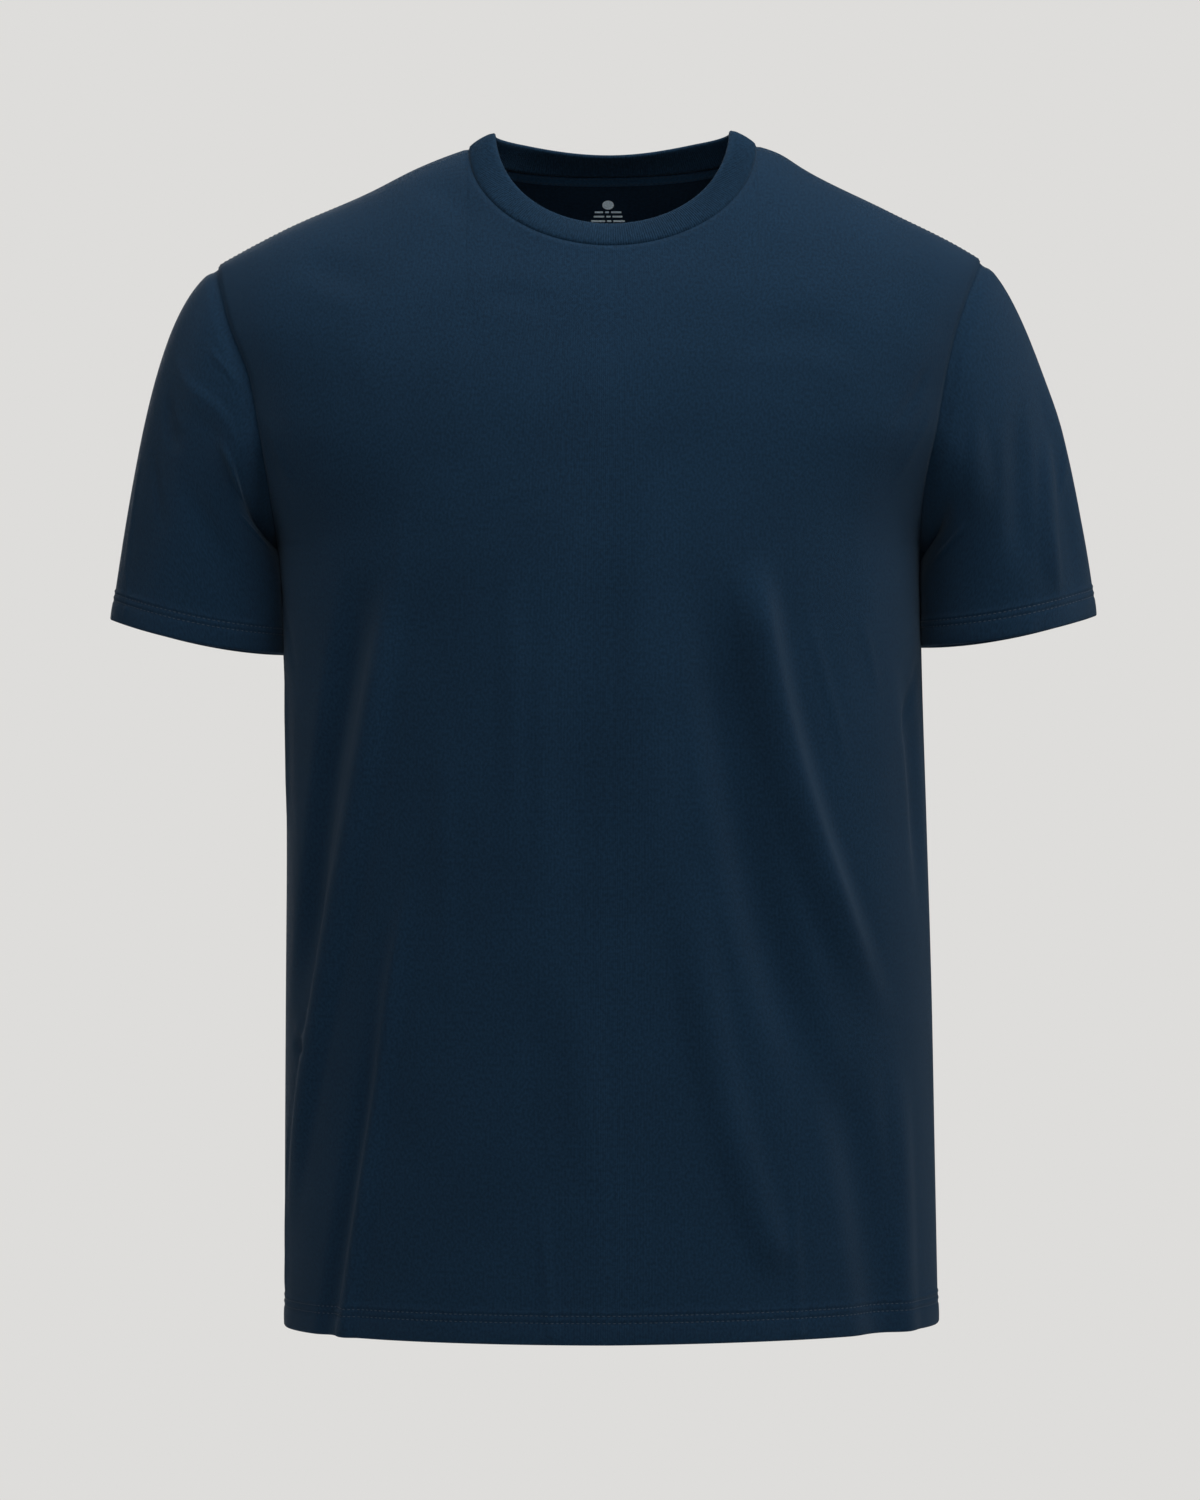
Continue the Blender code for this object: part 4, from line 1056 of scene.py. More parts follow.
def mark_mesh(cloth, mark):
    """A plain round and rows of plain bars printed inside the neck, with no lettering."""
    turns = np.linspace(0, 2 * math.pi, MARK_POINTS + 1)[:-1]
    disc = np.stack([mark.wide / 2 * np.cos(turns), mark.tall / 2 * np.sin(turns)], axis=-1)
    outlines = [np.array([mark.across, mark.height]) + disc]
    for bar in MARK_BARS:
        gap = (bar.wide - sum(bar.parts)) / max(len(bar.parts) - 1, 1)
        left = mark.across - bar.wide / 2
        for part in bar.parts:
            outlines.append(dash((left + part / 2, mark.height - bar.below), part, bar.tall))
            left += part + gap
    points, faces = [], []
    for outline in outlines:
        base = sum(len(block) for block in points)
        middle = outline.mean(axis=0)
        ring = len(outline)
        inset = middle + (outline - middle) * MARK_INSET
        points.append(inside_back(np.concatenate([middle[None], inset, outline]), cloth, MARK_LIFT))
        points.append(inside_back(outline, cloth, MARK_SINK))
        for k in range(ring):
            j = (k + 1) % ring
            faces.append((base, base + 1 + k, base + 1 + j))
            for low, high in ((1, 1 + ring), (1 + ring, 1 + 2 * ring)):
                faces.append((base + low + k, base + high + k, base + high + j, base + low + j))
        faces.append([base + 1 + 2 * ring + k for k in reversed(range(ring))])
    mesh = bpy.data.meshes.new("neck_mark")
    mesh.from_pydata(np.concatenate(points) * MM, [], faces)
    face_outward(mesh)
    return mesh


def face_outward(mesh):
    """Turn the faces of closed shells outwards."""
    work = bmesh.new()
    work.from_mesh(mesh)
    bmesh.ops.recalc_face_normals(work, faces=work.faces)
    work.to_mesh(mesh)
    work.free()


# ---- Geometry Nodes ------------------------------------------------------------------------------------
def new_tree(name, inputs):
    """Empty tree, what its geometry input and named inputs give, and its node for geometry that goes out."""
    tree = bpy.data.node_groups.new(name, "GeometryNodeTree")
    tree.interface.new_socket("Geometry", in_out="INPUT", socket_type="NodeSocketGeometry")
    for title, kind in inputs:
        tree.interface.new_socket(title, in_out="INPUT", socket_type=kind)
    tree.interface.new_socket("Geometry", in_out="OUTPUT", socket_type="NodeSocketGeometry")
    return tree, tree.nodes.new("NodeGroupInput").outputs, tree.nodes.new("NodeGroupOutput")


def feed(tree, node, inputs):
    """Constants, or other nodes' outputs, into a node's inputs."""
    for title, value in inputs.items():
        if isinstance(value, bpy.types.NodeSocket):
            tree.links.new(value, node.inputs[title])
        else:
            node.inputs[title].default_value = value
    return node


def add_node(tree, kind, inputs=None, **settings):
    """Node of a kind with its settings and what feeds it."""
    node = tree.nodes.new(kind)
    for name, value in settings.items():
        setattr(node, name, value)
    return feed(tree, node, inputs or {})


def math_node(tree, operation, *values):
    """Math node fed by numbers or by other nodes' outputs; gives its output."""
    return add_node(tree, "ShaderNodeMath", dict(enumerate(values)), operation=operation).outputs[0]


def named_attribute(tree, title, kind):
    """Output of a named attribute of a kind."""
    node = add_node(tree, "GeometryNodeInputNamedAttribute", {"Name": title}, data_type=kind)
    return node.outputs["Attribute"]


def finish_tree(tree, geometry, finish, output):
    """End a tree in real geometry of one finish."""
    real = add_node(tree, "GeometryNodeRealizeInstances", {"Geometry": geometry}).outputs["Geometry"]
    paint = add_node(tree, "GeometryNodeSetMaterial", {"Geometry": real, "Material": finish})
    feed(tree, output, {"Geometry": paint.outputs["Geometry"]})


def rib_tree():
    """Ribs round a ring: each point stands out by its place on its rib."""
    tree, given, output = new_tree("Neckband ribs", (
        ("Ribs", "NodeSocketInt"), ("Depth", "NodeSocketFloat"), ("Finish", "NodeSocketMaterial")))
    phase = math_node(tree, "MULTIPLY", named_attribute(tree, "round", "FLOAT"), given["Ribs"])
    wave = math_node(tree, "SINE", math_node(tree, "MULTIPLY", phase, math.pi))
    lift = math_node(tree, "MULTIPLY", math_node(tree, "ABSOLUTE", wave), given["Depth"])
    lift = math_node(tree, "MULTIPLY", lift, named_attribute(tree, "grip", "FLOAT"))
    normal = add_node(tree, "GeometryNodeInputNormal").outputs["Normal"]
    offset = add_node(tree, "ShaderNodeVectorMath", {0: normal, "Scale": lift}, operation="SCALE")
    move = add_node(tree, "GeometryNodeSetPosition", {
        "Geometry": given["Geometry"], "Offset": offset.outputs["Vector"]})
    finish_tree(tree, move.outputs["Geometry"], given["Finish"], output)
    return tree


def stitch_tree():
    """Bowed stitches at even steps along edges, each lying in the cloth's face."""
    sizes = ("Pitch", "Stitch length", "Thread radius", "Bow", "Sink")
    tree, given, output = new_tree(
        "Stitches", [(title, "NodeSocketFloat") for title in sizes] + [("Finish", "NodeSocketMaterial")])
    node = partial(add_node, tree)
    line = node("GeometryNodeMeshToCurve", {"Mesh": given["Geometry"]}).outputs["Curve"]
    spread = node("GeometryNodeResampleCurve", mode="LENGTH")
    feed(tree, spread, {"Curve": line, "Length": given["Pitch"]})
    tangent = node("GeometryNodeInputTangent").outputs["Tangent"]
    along = node("FunctionNodeAlignRotationToVector", {"Vector": tangent}, axis="X")
    upright = node("FunctionNodeAlignRotationToVector", {
        "Rotation": along.outputs["Rotation"], "Vector": named_attribute(tree, "outward", "FLOAT_VECTOR"),
    }, axis="Z", pivot_axis="X")
    end, handle = (math_node(tree, "MULTIPLY", given["Stitch length"], part) for part in STITCH_PARTS)
    down = math_node(tree, "MULTIPLY", given["Sink"], -1.0)
    thread = node("GeometryNodeCurvePrimitiveBezierSegment", {"Resolution": STITCH_STEPS})
    for title, side in (("Start", -1.0), ("End", 1.0)):
        for socket, across, height in ((title, end, down), (title + " Handle", handle, given["Bow"])):
            across = math_node(tree, "MULTIPLY", across, side)
            place = node("ShaderNodeCombineXYZ", {"X": across, "Z": height})
            feed(tree, thread, {socket: place.outputs["Vector"]})
    profile = node("GeometryNodeCurvePrimitiveCircle", {
        "Resolution": STITCH_SIDES, "Radius": given["Thread radius"]})
    tube = node("GeometryNodeCurveToMesh", {
        "Curve": thread.outputs["Curve"], "Profile Curve": profile.outputs["Curve"], "Fill Caps": True})
    repeat = node("GeometryNodeInstanceOnPoints", {
        "Points": spread.outputs["Curve"], "Instance": tube.outputs["Mesh"],
        "Rotation": upright.outputs["Rotation"]})
    finish_tree(tree, repeat.outputs["Instances"], given["Finish"], output)
    return tree


def grow(name, start, tree, values):
    """Plain mesh that a tree makes out of a mesh, with the tree's named inputs set to values."""
    carrier = bpy.data.objects.new(name, start)
    bpy.context.scene.collection.objects.link(carrier)
    modifier = carrier.modifiers.new(tree.name, "NODES")
    modifier.node_group = tree
    for item in tree.interface.items_tree:
        if item.item_type == "SOCKET" and item.in_out == "INPUT" and item.name in values:
            modifier[item.identifier] = values[item.name]
    graph = bpy.context.evaluated_depsgraph_get()
    mesh = bpy.data.meshes.new_from_object(carrier.evaluated_get(graph), preserve_all_data_layers=True,
                                           depsgraph=graph)
    if not len(mesh.polygons):
        raise RuntimeError(f"{name}: the Geometry Nodes tree made nothing")
    bpy.data.objects.remove(carrier)
    mesh.name = name
    return mesh


def path_mesh(paths):
    """Edges along lines of points, each point with the direction out of the cloth."""
    points, outward, edges = [], [], []
    for line, normal, closed in paths:
        first = sum(len(block) for block in points)
        count = len(line)
        points.append(line)
        outward.append(normal)
        edges += [(first + k, first + (k + 1) % count) for k in range(count if closed else count - 1)]
    mesh = bpy.data.meshes.new("stitch_paths")
    mesh.from_pydata(np.concatenate(points) * MM, edges, [])
    add_values(mesh, "outward", "FLOAT_VECTOR", "vector", np.concatenate(outward))
    return mesh


# ---- Finishes ------------------------------------------------------------------------------------------
Knit = namedtuple("Knit", "speckle fibre wale course depth sheen sheen_tint gloss")
Grain = namedtuple("Grain", "size detail stretch mottle depth roughness gloss sheen")
THREAD_GRAIN = Grain(0.35, 1.0, (1.0, 1.0, 1.8), 0.2, 0.1, 0.7, 0.3, 0.1)
INK_GRAIN = Grain(0.8, 2.0, (1.0, 1.0, 1.0), 0.18, 0.05, 0.65, 0.25, 0.0)


def blank_finish(name):
    """New material with its tree and its main shader."""
    finish = bpy.data.materials.new(name)
    finish.use_nodes = True
    return finish, finish.node_tree, finish.node_tree.nodes["Principled BSDF"]


def in_millimetres(tree, places):
    """A vector in metres turned into millimetres."""
    scale = add_node(tree, "ShaderNodeVectorMath", {0: places, "Scale": 1 / MM}, operation="SCALE")
    return scale.outputs["Vector"]


def flat_places(tree):
    """Millimetres across and up the flat cloth, from its UV map, and the same as a vector."""
    places = in_millimetres(tree, add_node(tree, "ShaderNodeUVMap", uv_map="cloth").outputs["UV"])
    split = add_node(tree, "ShaderNodeSeparateXYZ", {"Vector": places})
    return split.outputs["X"], split.outputs["Y"], places


def cloudy(tree, places, size, detail, stretch=(1.0, 1.0, 1.0)):
    """Noise of a cell size in millimetres, from 0 to 1."""
    mapping = add_node(tree, "ShaderNodeMapping", {"Vector": places, "Scale": stretch})
    noise = add_node(tree, "ShaderNodeTexNoise", {
        "Vector": mapping.outputs["Vector"], "Scale": 1 / size, "Detail": detail})
    return noise.outputs["Fac"]


def knit_height(tree, across, up, wale, course):
    """Relief of jersey: columns of slanting loops, from about -1 to 1."""
    column = math_node(tree, "FRACT", math_node(tree, "MULTIPLY", across, 1 / wale))
    from_middle = math_node(tree, "ABSOLUTE", math_node(tree, "SUBTRACT", column, 0.5))
    row = math_node(tree, "MULTIPLY", up, 1 / course)
    slant = math_node(tree, "MULTIPLY_ADD", from_middle, LOOP_SLANT, row)
    loops = math_node(tree, "SINE", math_node(tree, "MULTIPLY", slant, 2 * math.pi))
    groove = math_node(tree, "MULTIPLY", from_middle, WALE_GROOVE)
    return math_node(tree, "MULTIPLY_ADD", loops, LOOP_LIFT, groove)


def mottle(tree, colour, fine, broad, fibre, drift):
    """Dyed colour with fibres and soft patches lighter and darker by these shares."""
    low, high = NOISE_SPAN
    shades = []
    for noise, share in ((fine, fibre), (broad, drift)):
        ramp = add_node(tree, "ShaderNodeMapRange", {
            "Value": noise, "From Min": low, "From Max": high, "To Min": 1 - share, "To Max": 1 + share,
        }, interpolation_type="SMOOTHSTEP")
        shades.append(ramp.outputs["Result"])
    both = math_node(tree, "MULTIPLY", *shades)
    tint = add_node(tree, "ShaderNodeVectorMath", {0: tuple(colour), "Scale": both}, operation="SCALE")
    return tint.outputs["Vector"]


def bloom(knit):
    """Inputs for the soft reflection of cotton and the bloom of its brushed fibres."""
    return {"Specular IOR Level": knit.gloss, "Sheen Weight": knit.sheen, "Sheen Roughness": SHEEN_ROUGHNESS,
            "Sheen Tint": knit.sheen_tint + (1.0,)}


def bent(tree, relief, depth):
    """Normals bent by a relief whose unit is this deep, in millimetres."""
    return add_node(tree, "ShaderNodeBump", {"Height": relief, "Distance": depth * MM}).outputs["Normal"]


def jersey(name, colour, knit):
    """Fine cotton jersey: knitted loops, fibre speckle, soft patches and the bloom of brushed fibres."""
    finish, tree, shader = blank_finish(name)
    across, up, places = flat_places(tree)
    fine = cloudy(tree, places, knit.fibre, FIBRE_DETAIL, FIBRE_STRETCH)
    broad = cloudy(tree, places, PATCH, PATCH_DETAIL)
    low, high = ROUGHNESS
    rough = add_node(tree, "ShaderNodeMapRange", {"Value": fine, "To Min": low, "To Max": high})
    loops = knit_height(tree, across, up, knit.wale, knit.course)
    relief = math_node(tree, "MULTIPLY_ADD", fine, FIBRE_LIFT, loops)
    feed(tree, shader, {
        "Base Color": mottle(tree, colour, fine, broad, knit.speckle, PATCH_SHARE),
        "Roughness": rough.outputs["Result"], "Normal": bent(tree, relief, knit.depth), **bloom(knit)})
    return finish


def rib_knit(name, colour, knit):
    """Rib knit of the neckband, whose ribs are in the mesh: its courses and fibres."""
    finish, tree, shader = blank_finish(name)
    _, up, places = flat_places(tree)
    fine = cloudy(tree, places, knit.fibre, FIBRE_DETAIL, RIB_STRETCH)
    broad = cloudy(tree, places, RIB_PATCH, PATCH_DETAIL)
    courses = math_node(tree, "SINE", math_node(tree, "MULTIPLY", up, 2 * math.pi / knit.course))
    courses = math_node(tree, "MULTIPLY", courses, COURSE_LIFT)
    relief = math_node(tree, "MULTIPLY_ADD", fine, RIB_FIBRE_LIFT, courses)
    feed(tree, shader, {
        "Base Color": mottle(tree, colour, fine, broad, knit.speckle * RIB_SPECKLE, PATCH_SHARE),
        "Roughness": RIB_ROUGHNESS, "Normal": bent(tree, relief, knit.depth), **bloom(knit)})
    return finish


def grained_finish(name, colour, grain):
    """Small matte thing with one grain: spun thread with its twist, or transfer ink a little worn."""
    finish, tree, shader = blank_finish(name)
    places = in_millimetres(tree, add_node(tree, "ShaderNodeTexCoord").outputs["Object"])
    noise = cloudy(tree, places, grain.size, grain.detail, grain.stretch)
    feed(tree, shader, {
        "Base Color": mottle(tree, colour, noise, noise, grain.mottle, 0.0),
        "Normal": bent(tree, noise, grain.depth), "Roughness": grain.roughness,
        "Specular IOR Level": grain.gloss, "Sheen Weight": grain.sheen})
    return finish


# ---- Settings ------------------------------------------------------------------------------------------
def size(name, description, default, low, high):
    """Setting for a length, given in millimetres."""
    return FloatProperty(name=name, description=description, default=default * MM, min=low * MM,
                         max=high * MM, unit="LENGTH", precision=5)


def factor(name, description, default, high=1.0):
    """Setting for a share."""
    return FloatProperty(name=name, description=description, default=default, min=0.0, max=high,
                         subtype="FACTOR")


def tone(name, description, default):
    """Setting for a colour."""
    return FloatVectorProperty(name=name, description=description, default=default, min=0.0, max=1.0, size=3,
                               subtype="COLOR")


def watts(name, description, default):
    """Setting for a light's power."""
    return FloatProperty(name=name, description=description, default=default, min=0.0, max=500.0,
                         unit="POWER")


class TSHIRT_PG_cloth(bpy.types.PropertyGroup):
    """Jersey of the body and sleeves."""
    wall: size("Thickness", "Thickness of the jersey", 1.3, 0.5, 3)
    lip: size("Seam lip", "How far the cloth beside a seam stands out of it", 0.55, 0, 2)
    tuck: size("Sleeve tuck", "How far a sleeve is drawn in beside its armhole seam", 2.0, 0, 5)
    hem_puff: size("Hem puff", "How far a hem swells between its rows of stitching", 0.22, 0, 1)
    hem_bite: size("Stitch bite", "How deep a hem's stitching pulls into the cloth", 0.5, 0, 1)
    creases: factor("Creases", "Strength of the finer creases", 1.0, 2.0)
    unevenness: factor("Unevenness", "Strength of the hanging cloth's soft unevenness", 1.0, 2.0)
    colour: tone("Colour", "Dyed colour of the jersey", (0.0045, 0.0151, 0.0312))
    speckle: factor("Fibre speckle", "How much lighter and darker single fibres are", 0.20)
    fibre: size("Fibre size", "Size of the fibre speckle", 1.4, 0.2, 5)
    wale: size("Wale", "Width of one column of loops", 0.75, 0.3, 3)
    course: size("Course", "Height of one row of loops", 0.55, 0.2, 3)
    depth: size("Loop depth", "Depth of the knit's relief", 0.12, 0, 0.5)
    sheen: factor("Sheen", "Bloom of the fibres at the edges", 0.05)
    sheen_tint: tone("Sheen colour", "Colour of that bloom", (0.60, 0.80, 1.0))
    gloss: factor("Gloss", "Strength of the jersey's soft reflection", 0.05)


class TSHIRT_PG_neck(bpy.types.PropertyGroup):
    """Ribbed neckband and what lies inside the back neck."""
    width: size("Width", "From the neckline seam to the free edge", 17, 8, 30)
    wall: size("Thickness", "Thickness of the doubled rib", 2.2, 1, 4)
    bow: size("Roundness", "How far the band swells across its width", 0.9, 0, 3)
    ribs: IntProperty(name="Ribs", description="Ribs round the neckband", default=350, min=100, max=600)
    rib_depth: size("Rib depth", "Depth of the ribs", 0.58, 0, 1)
    colour: tone("Rib colour", "Dyed colour of the rib", (0.0048, 0.0157, 0.0318))
    mark_wide: size("Mark width", "Width of the printed round inside the neck", 7, 1, 30)
    mark_colour: tone("Mark colour", "Ink of the mark inside the neck", (0.63, 0.76, 0.85))


class TSHIRT_PG_stitching(bpy.types.PropertyGroup):
    """Thread and stitches."""
    pitch: size("Pitch", "From one stitch to the next", 3.0, 1, 8)
    length: size("Stitch length", "Length of thread that shows in a stitch", 1.9, 0.5, 7)
    radius: size("Thread radius", "Half the thickness of the thread", 0.22, 0.05, 0.6)
    bow: size("Bow", "How far a stitch's middle stands off the cloth", 0.22, 0, 1)
    sink: size("Sink", "How far a stitch's ends go into the cloth", 0.25, 0, 1)
    colour: tone("Colour", "Colour of the thread", (0.0075, 0.0200, 0.0380))


class TSHIRT_PG_stage(bpy.types.PropertyGroup):
    """Backdrop, light and camera."""
    backdrop: tone("Backdrop", "Plain colour behind the garment", (0.7305, 0.7230, 0.7084))
    sky: FloatProperty(name="Surrounding light", description="Strength of the even light from all round",
                       default=0.10, min=0.0, max=3.0)
    front: watts("Front light", "Power of the softbox behind the camera", 20.0)
    key: watts("Key light", "Power of the high softbox at the wearer's left", 35.0)
    fill: watts("Fill light", "Power of the softbox at the wearer's right", 13.0)
    top: watts("Top light", "Power of the softbox overhead", 41.0)
    side: watts("Side light", "Power of the softbox beside the wearer's left sleeve", 24.0)
    rear: watts("Rear light", "Power of the softbox behind the garment", 110.0)
    floor_height: size("Floor", "Height of the floor under a wearer's feet", -1420, -2500, -750)
    distance: size("Camera distance", "From the camera to the garment's middle", 3200, 500, 10000)
    lens: FloatProperty(name="Lens", description="Focal length of the camera", default=129.08, min=20.0,
                        max=300.0, unit="CAMERA")


GROUPS = {
    "tshirt_cloth": TSHIRT_PG_cloth,
    "tshirt_neck": TSHIRT_PG_neck,
    "tshirt_stitching": TSHIRT_PG_stitching,
    "tshirt_stage": TSHIRT_PG_stage,
}


def cloth_of(context):
    """Sizes of the jersey, in millimetres."""
    group = context.scene.tshirt_cloth
    return Cloth(group.wall / MM, group.lip / MM, group.tuck / MM, group.hem_puff / MM, group.hem_bite / MM,
                 group.creases, group.unevenness)


def knit_of(context):
    """Look of the knit, with its sizes in millimetres."""
    group = context.scene.tshirt_cloth
    return Knit(group.speckle, group.fibre / MM, group.wale / MM, group.course / MM, group.depth / MM,
                group.sheen, tuple(group.sheen_tint), group.gloss)


def finish_named(name, make, *values):
    """A finish that several pieces share."""
    return bpy.data.materials.get(name) or make(name, *values)


def body_jersey(context):
    """The jersey of the body and sleeves."""
    return finish_named("navy_jersey", jersey, tuple(context.scene.tshirt_cloth.colour), knit_of(context))


def navy_thread(context):
    """The sewing thread."""
    colour = tuple(context.scene.tshirt_stitching.colour)
    return finish_named("navy_thread", grained_finish, colour, THREAD_GRAIN)


class TSHIRT_OT_panels(bpy.types.Operator):
    """Make the front and the back, with their folds and turned-up hem"""
    bl_idname = "tshirt.panels"
    bl_label = "Front and back"

    def execute(self, context):
        cloth = cloth_of(context)
        for side, name, node in ((FRONT, "front_cloth", "body_front"), (BACK, "back_cloth", "body_back")):
            outer, inner, _, lay = panel(side, cloth)
            piece = add_piece(name, shell(name, outer, inner, lay, False), body_jersey(context), node)
        return {"FINISHED"}


class TSHIRT_OT_sleeves(bpy.types.Operator):
    """Make the two sleeves, with their folds and turned-up hems"""
    bl_idname = "tshirt.sleeves"
    bl_label = "Sleeves"

    def execute(self, context):
        cloth = cloth_of(context)
        for edge, node in ((RIGHT, "sleeve_right"), (LEFT, "sleeve_left")):
            outer, inner, _, lay = sleeve_cloth(edge, cloth)
            name = node + "_cloth"
            piece = add_piece(name, shell(name, outer, inner, lay, True), body_jersey(context), node)
        return {"FINISHED"}


class TSHIRT_OT_neckband(bpy.types.Operator):
    """Make the ribbed neckband"""
    bl_idname = "tshirt.neckband"
    bl_label = "Neckband"

    def execute(self, context):
        group = context.scene.tshirt_neck
        band = Band(group.width / MM, group.wall / MM, group.bow / MM, group.ribs)
        loop, grips, length = band_loop(band, cloth_of(context).lip)
        rib = finish_named("navy_rib", rib_knit, tuple(group.colour), knit_of(context))
        mesh = grow("neckband_cloth", ring_mesh("neckband_cloth", loop, grips, length), rib_tree(),
                    {"Ribs": group.ribs, "Depth": group.rib_depth, "Finish": rib})
        mesh.materials.clear()
        piece = add_piece("neckband_cloth", mesh, rib, "neck_rib")
        return {"FINISHED"}


class TSHIRT_OT_tape(bpy.types.Operator):
    """Make the tape over the seam inside the back neck"""
    bl_idname = "tshirt.tape"
    bl_label = "Back neck tape"

    def execute(self, context):
        near, far, _, lay = tape_grid(cloth_of(context))
        mesh = shell("neck_tape_cloth", far, near, lay, False)
        # The tape's colour is the jersey's lightened: partly its own tone, partly painted light that stands
        # in for light the shaded inside of the back neck doesn't get.
        colour = tuple(TAPE_TONE_AND_PAINTED_LIGHT * part for part in context.scene.tshirt_cloth.colour)
        tape = finish_named("navy_tape", jersey, colour, knit_of(context))
        piece = add_piece("neck_tape_cloth", mesh, tape, "neck_tape")
        return {"FINISHED"}


class TSHIRT_OT_stitching(bpy.types.Operator):
    """Sew the twin rows of the hems, the shoulder topstitching and the tape's edges"""
    bl_idname = "tshirt.stitching"
    bl_label = "Stitching"

    def execute(self, context):
        cloth = cloth_of(context)
        group = context.scene.tshirt_stitching
        values = {"Pitch": group.pitch, "Stitch length": group.length, "Thread radius": group.radius,
                  "Bow": group.bow, "Sink": group.sink, "Finish": navy_thread(context)}
        tree = stitch_tree()
        rows = {
            "hem_stitches": (body_hem_paths(cloth), "body_front_jersey"),
            "sleeve_hem_stitches": (sleeve_hem_paths(cloth), "sleeve_right_jersey"),
            "shoulder_stitches": (shoulder_paths(cloth), "body_front_jersey"),
            "neck_tape_stitches": (tape_paths(cloth), "neck_tape_jersey"),
        }
        for name, (paths, slot) in rows.items():
            mesh = grow(name, path_mesh(paths), tree, values)
            mesh.shade_smooth()
            riding(name, mesh)
        return {"FINISHED"}


class TSHIRT_OT_mark(bpy.types.Operator):
    """Print the plain mark inside the back neck"""
    bl_idname = "tshirt.mark"
    bl_label = "Neck mark"

    def execute(self, context):
        group = context.scene.tshirt_neck
        wide = group.mark_wide / MM
        mesh = mark_mesh(cloth_of(context), Mark(MARK_ACROSS, MARK_HEIGHT, wide, wide * MARK_FLATNESS))
        mesh.materials.append(grained_finish("pale_ink", tuple(group.mark_colour), INK_GRAIN))
        riding("neck_mark", mesh)
        return {"FINISHED"}


def body_hem_paths(cloth):
    """Twin rows round the body hem, over both side seams."""
    front, _, front_normal, _ = panel(FRONT, cloth)
    back, _, back_normal, _ = panel(BACK, cloth)
    paths = []
    for distance in HEM_LINES:
        row = HEM_ROWS.index(distance)
        line = np.concatenate([front[row, :-1], back[row, :0:-1]])
        normal = np.concatenate([front_normal[row, :-1], back_normal[row, :0:-1]])
        paths.append((line, normal, True))
    return paths


def sleeve_hem_paths(cloth):
    """Twin rows round each sleeve's hem."""
    paths = []
    for edge in (RIGHT, LEFT):
        outer, _, normal, _ = sleeve_cloth(edge, cloth)
        for distance in HEM_LINES:
            row = -1 - HEM_ROWS.index(distance)
            paths.append((outer[row], normal[row], True))
    return paths


def shoulder_paths(cloth):
    """Topstitching in front of each shoulder seam."""
    paths = []
    for edge in (RIGHT, LEFT):
        start = (NECK_MIDDLE + edge * (NECK_HALF + TOPSTITCH_START)) / float(half_width(edge, 0.0))
        across = np.linspace(start, edge * TOPSTITCH_END, TOPSTITCH_POINTS)
        level = TOP_LEVEL - TOPSTITCH / top_speed(FRONT, across)
        outer, _, normal = panel_face(FRONT, across, level, cloth)
        paths.append((outer, normal, False))
    return paths


def tape_paths(cloth):
    """One row along each edge of the tape."""
    _, far, normal, _ = tape_grid(cloth)
    return [(far[row, 1:-1], normal[row, 1:-1], False) for row in TAPE_SEWN_ROWS]


# ---- Stage ---------------------------------------------------------------------------------------------
def add_softbox(box, power):
    """Soft rectangular light that points at the garment."""
    data = bpy.data.lights.new(box.name, "AREA")
    data.shape = "RECTANGLE"
    data.size, data.size_y = box.wide, box.tall
    data.energy = power
    lamp = bpy.data.objects.new(box.name, data)
    lamp.location = box.place
    lamp.rotation_euler = (Vector(LIGHT_AIM) - Vector(box.place)).to_track_quat("-Z", "Y").to_euler()
    bpy.context.scene.collection.objects.link(lamp)


def mix_shaders(tree, output, factor, first, second):
    """A tree's surface: the first shader, and the second one where the factor is 1."""
    mix = add_node(tree, "ShaderNodeMixShader", {"Fac": factor, 1: first, 2: second})
    feed(tree, tree.nodes[output], {"Surface": mix.outputs["Shader"]})


def backdrop_world(colour, strength):
    """World that shows one plain colour and lights evenly with a strength of its own."""
    world = bpy.data.worlds.new("studio")
    world.use_nodes = True
    tree = world.node_tree
    shown = feed(tree, tree.nodes["Background"], {"Color": tuple(colour) + (1.0,)})
    light = add_node(tree, "ShaderNodeBackground", {"Color": (1.0, 1.0, 1.0, 1.0), "Strength": strength})
    camera_ray = add_node(tree, "ShaderNodeLightPath").outputs["Is Camera Ray"]
    mix_shaders(tree, "World Output", camera_ray, light.outputs["Background"], shown.outputs["Background"])
    return world


def floor_finish(colour, radius):
    """Pale matte floor that fades out towards its rim."""
    finish, tree, shader = blank_finish("pale_floor")
    feed(tree, shader, {"Base Color": tuple(colour) + (1.0,), "Roughness": FLOOR_ROUGHNESS})
    places = add_node(tree, "ShaderNodeTexCoord").outputs["Object"]
    flat = add_node(tree, "ShaderNodeVectorMath", {0: places, 1: (1.0, 1.0, 0.0)}, operation="MULTIPLY")
    length = add_node(tree, "ShaderNodeVectorMath", {0: flat.outputs["Vector"]}, operation="LENGTH")
    start, stop = FLOOR_FADE
    fade = add_node(tree, "ShaderNodeMapRange", {
        "Value": length.outputs["Value"], "From Min": radius * start, "From Max": radius * stop,
    }, interpolation_type="SMOOTHSTEP")
    clear = add_node(tree, "ShaderNodeBsdfTransparent").outputs["BSDF"]
    mix_shaders(tree, "Material Output", fade.outputs["Result"], shader.outputs["BSDF"], clear)
    return finish


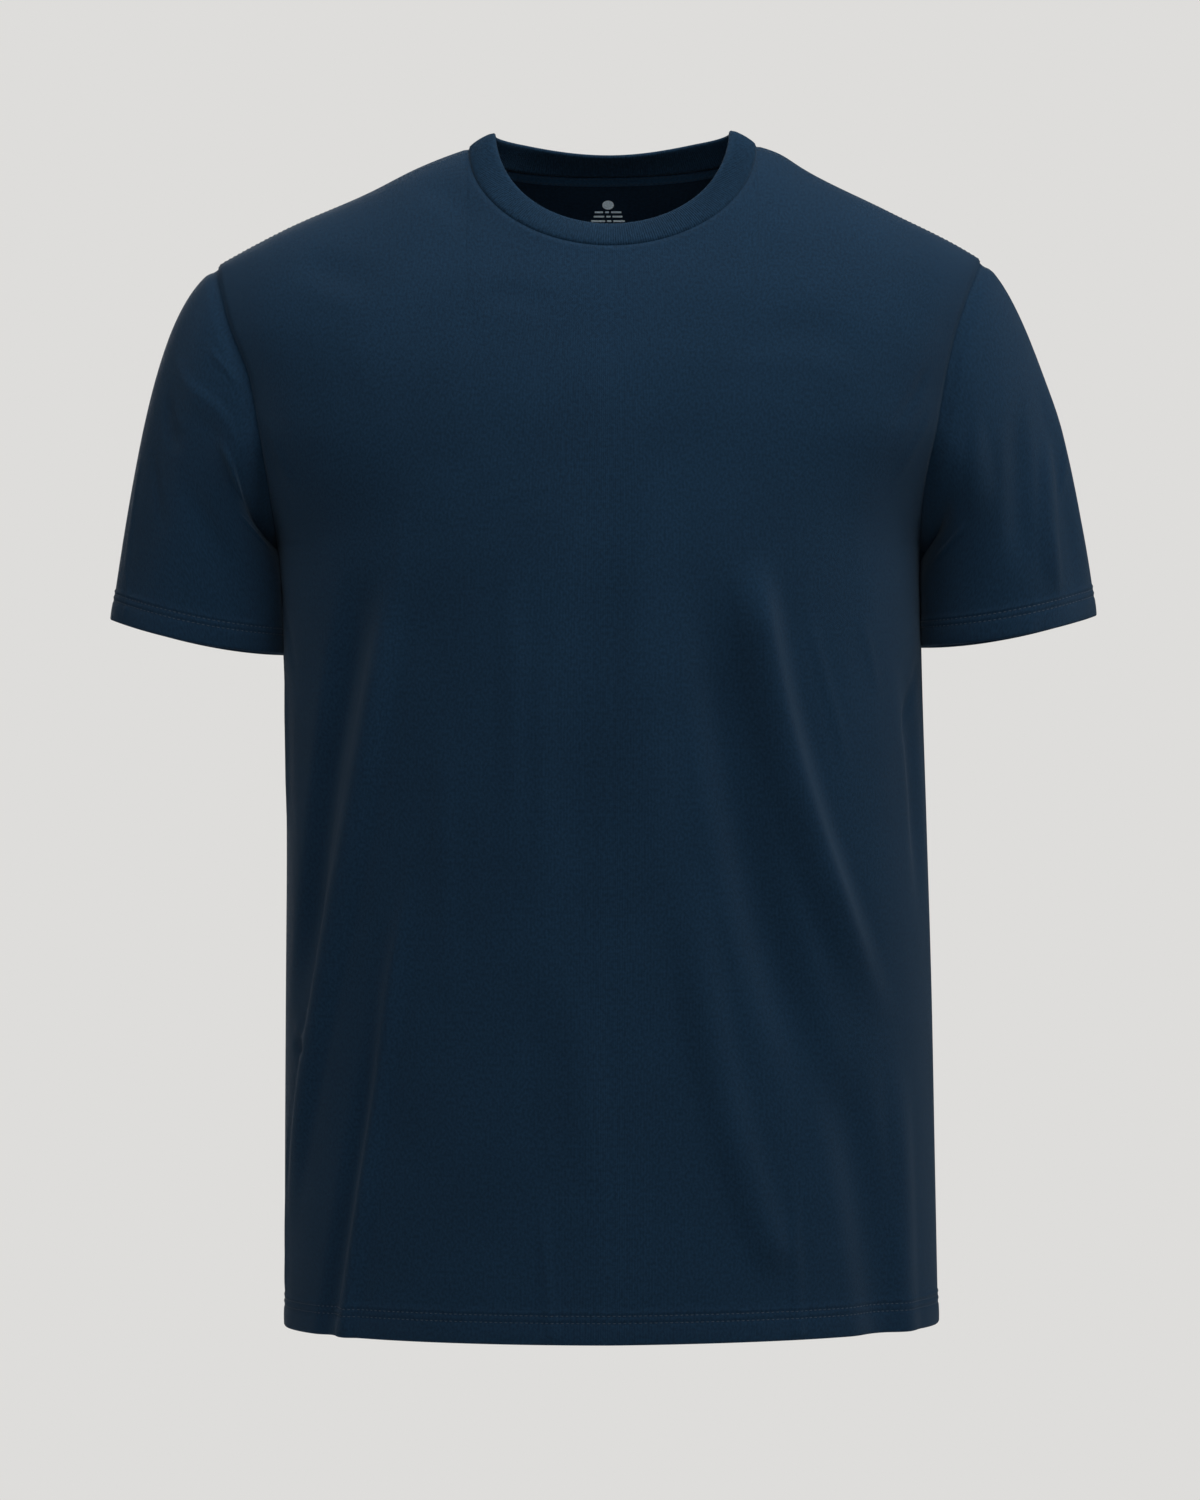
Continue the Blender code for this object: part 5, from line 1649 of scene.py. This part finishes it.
class TSHIRT_OT_stage(bpy.types.Operator):
    """Set up the floor, the backdrop, the soft lights and the camera"""
    bl_idname = "tshirt.stage"
    bl_label = "Stage"

    def execute(self, context):
        group = context.scene.tshirt_stage
        bpy.ops.mesh.primitive_circle_add(vertices=FLOOR_POINTS, radius=FLOOR_RADIUS, fill_type="NGON",
                                          location=(0.0, 0.0, 0.0))
        floor = context.object
        floor.name = "floor"
        floor.data.transform(Matrix.Translation((0.0, 0.0, group.floor_height)))
        floor.data.materials.append(floor_finish(group.backdrop, FLOOR_RADIUS))
        context.scene.world = backdrop_world(group.backdrop, group.sky)
        for box in SOFTBOXES:
            add_softbox(box, getattr(group, box.name))
        lens = bpy.data.cameras.new("camera")
        lens.lens = group.lens
        lens.sensor_width = SENSOR
        lens.sensor_fit = "AUTO"
        lens.clip_end = SIGHT
        camera = bpy.data.objects.new("camera", lens)
        camera.location = (CAMERA_ACROSS * MM, -group.distance, CAMERA_HEIGHT * MM)
        camera.rotation_euler = (math.pi / 2, 0.0, 0.0)
        context.scene.collection.objects.link(camera)
        context.scene.camera = camera
        context.scene.view_settings.view_transform = "Standard"
        context.scene.view_settings.look = "None"
        return {"FINISHED"}


class TSHIRT_PT_panel(bpy.types.Panel):
    """Sizes and colours of the t-shirt, and the buttons that make its pieces"""
    bl_label = "T-Shirt"
    bl_idname = "TSHIRT_PT_panel"
    bl_space_type = "VIEW_3D"
    bl_region_type = "UI"
    bl_category = "T-Shirt"

    def draw(self, context):
        for group, kind in GROUPS.items():
            box = self.layout.box()
            box.label(text=kind.__doc__)
            for name in kind.__annotations__:
                box.prop(getattr(context.scene, group), name)
        column = self.layout.column(align=True)
        for step in STEPS:
            column.operator(step.bl_idname)


STEPS = (TSHIRT_OT_panels, TSHIRT_OT_sleeves, TSHIRT_OT_neckband, TSHIRT_OT_tape, TSHIRT_OT_stitching,
         TSHIRT_OT_mark, TSHIRT_OT_stage)
CLASSES = tuple(GROUPS.values()) + STEPS + (TSHIRT_PT_panel,)


def register():
    """Add the settings, operators and panel to Blender."""
    for kind in CLASSES:
        bpy.utils.register_class(kind)
    for name, kind in GROUPS.items():
        setattr(bpy.types.Scene, name, PointerProperty(type=kind))


def unregister():
    """Take them out again."""
    for name in GROUPS:
        delattr(bpy.types.Scene, name)
    for kind in reversed(CLASSES):
        bpy.utils.unregister_class(kind)


def main():
    """Make every piece and the stage."""
    register()
    bpy.ops.tshirt.panels()
    bpy.ops.tshirt.sleeves()
    bpy.ops.tshirt.neckband()
    bpy.ops.tshirt.tape()
    bpy.ops.tshirt.stitching()
    bpy.ops.tshirt.mark()
    bpy.ops.tshirt.stage()


if __name__ == "__main__":
    main()
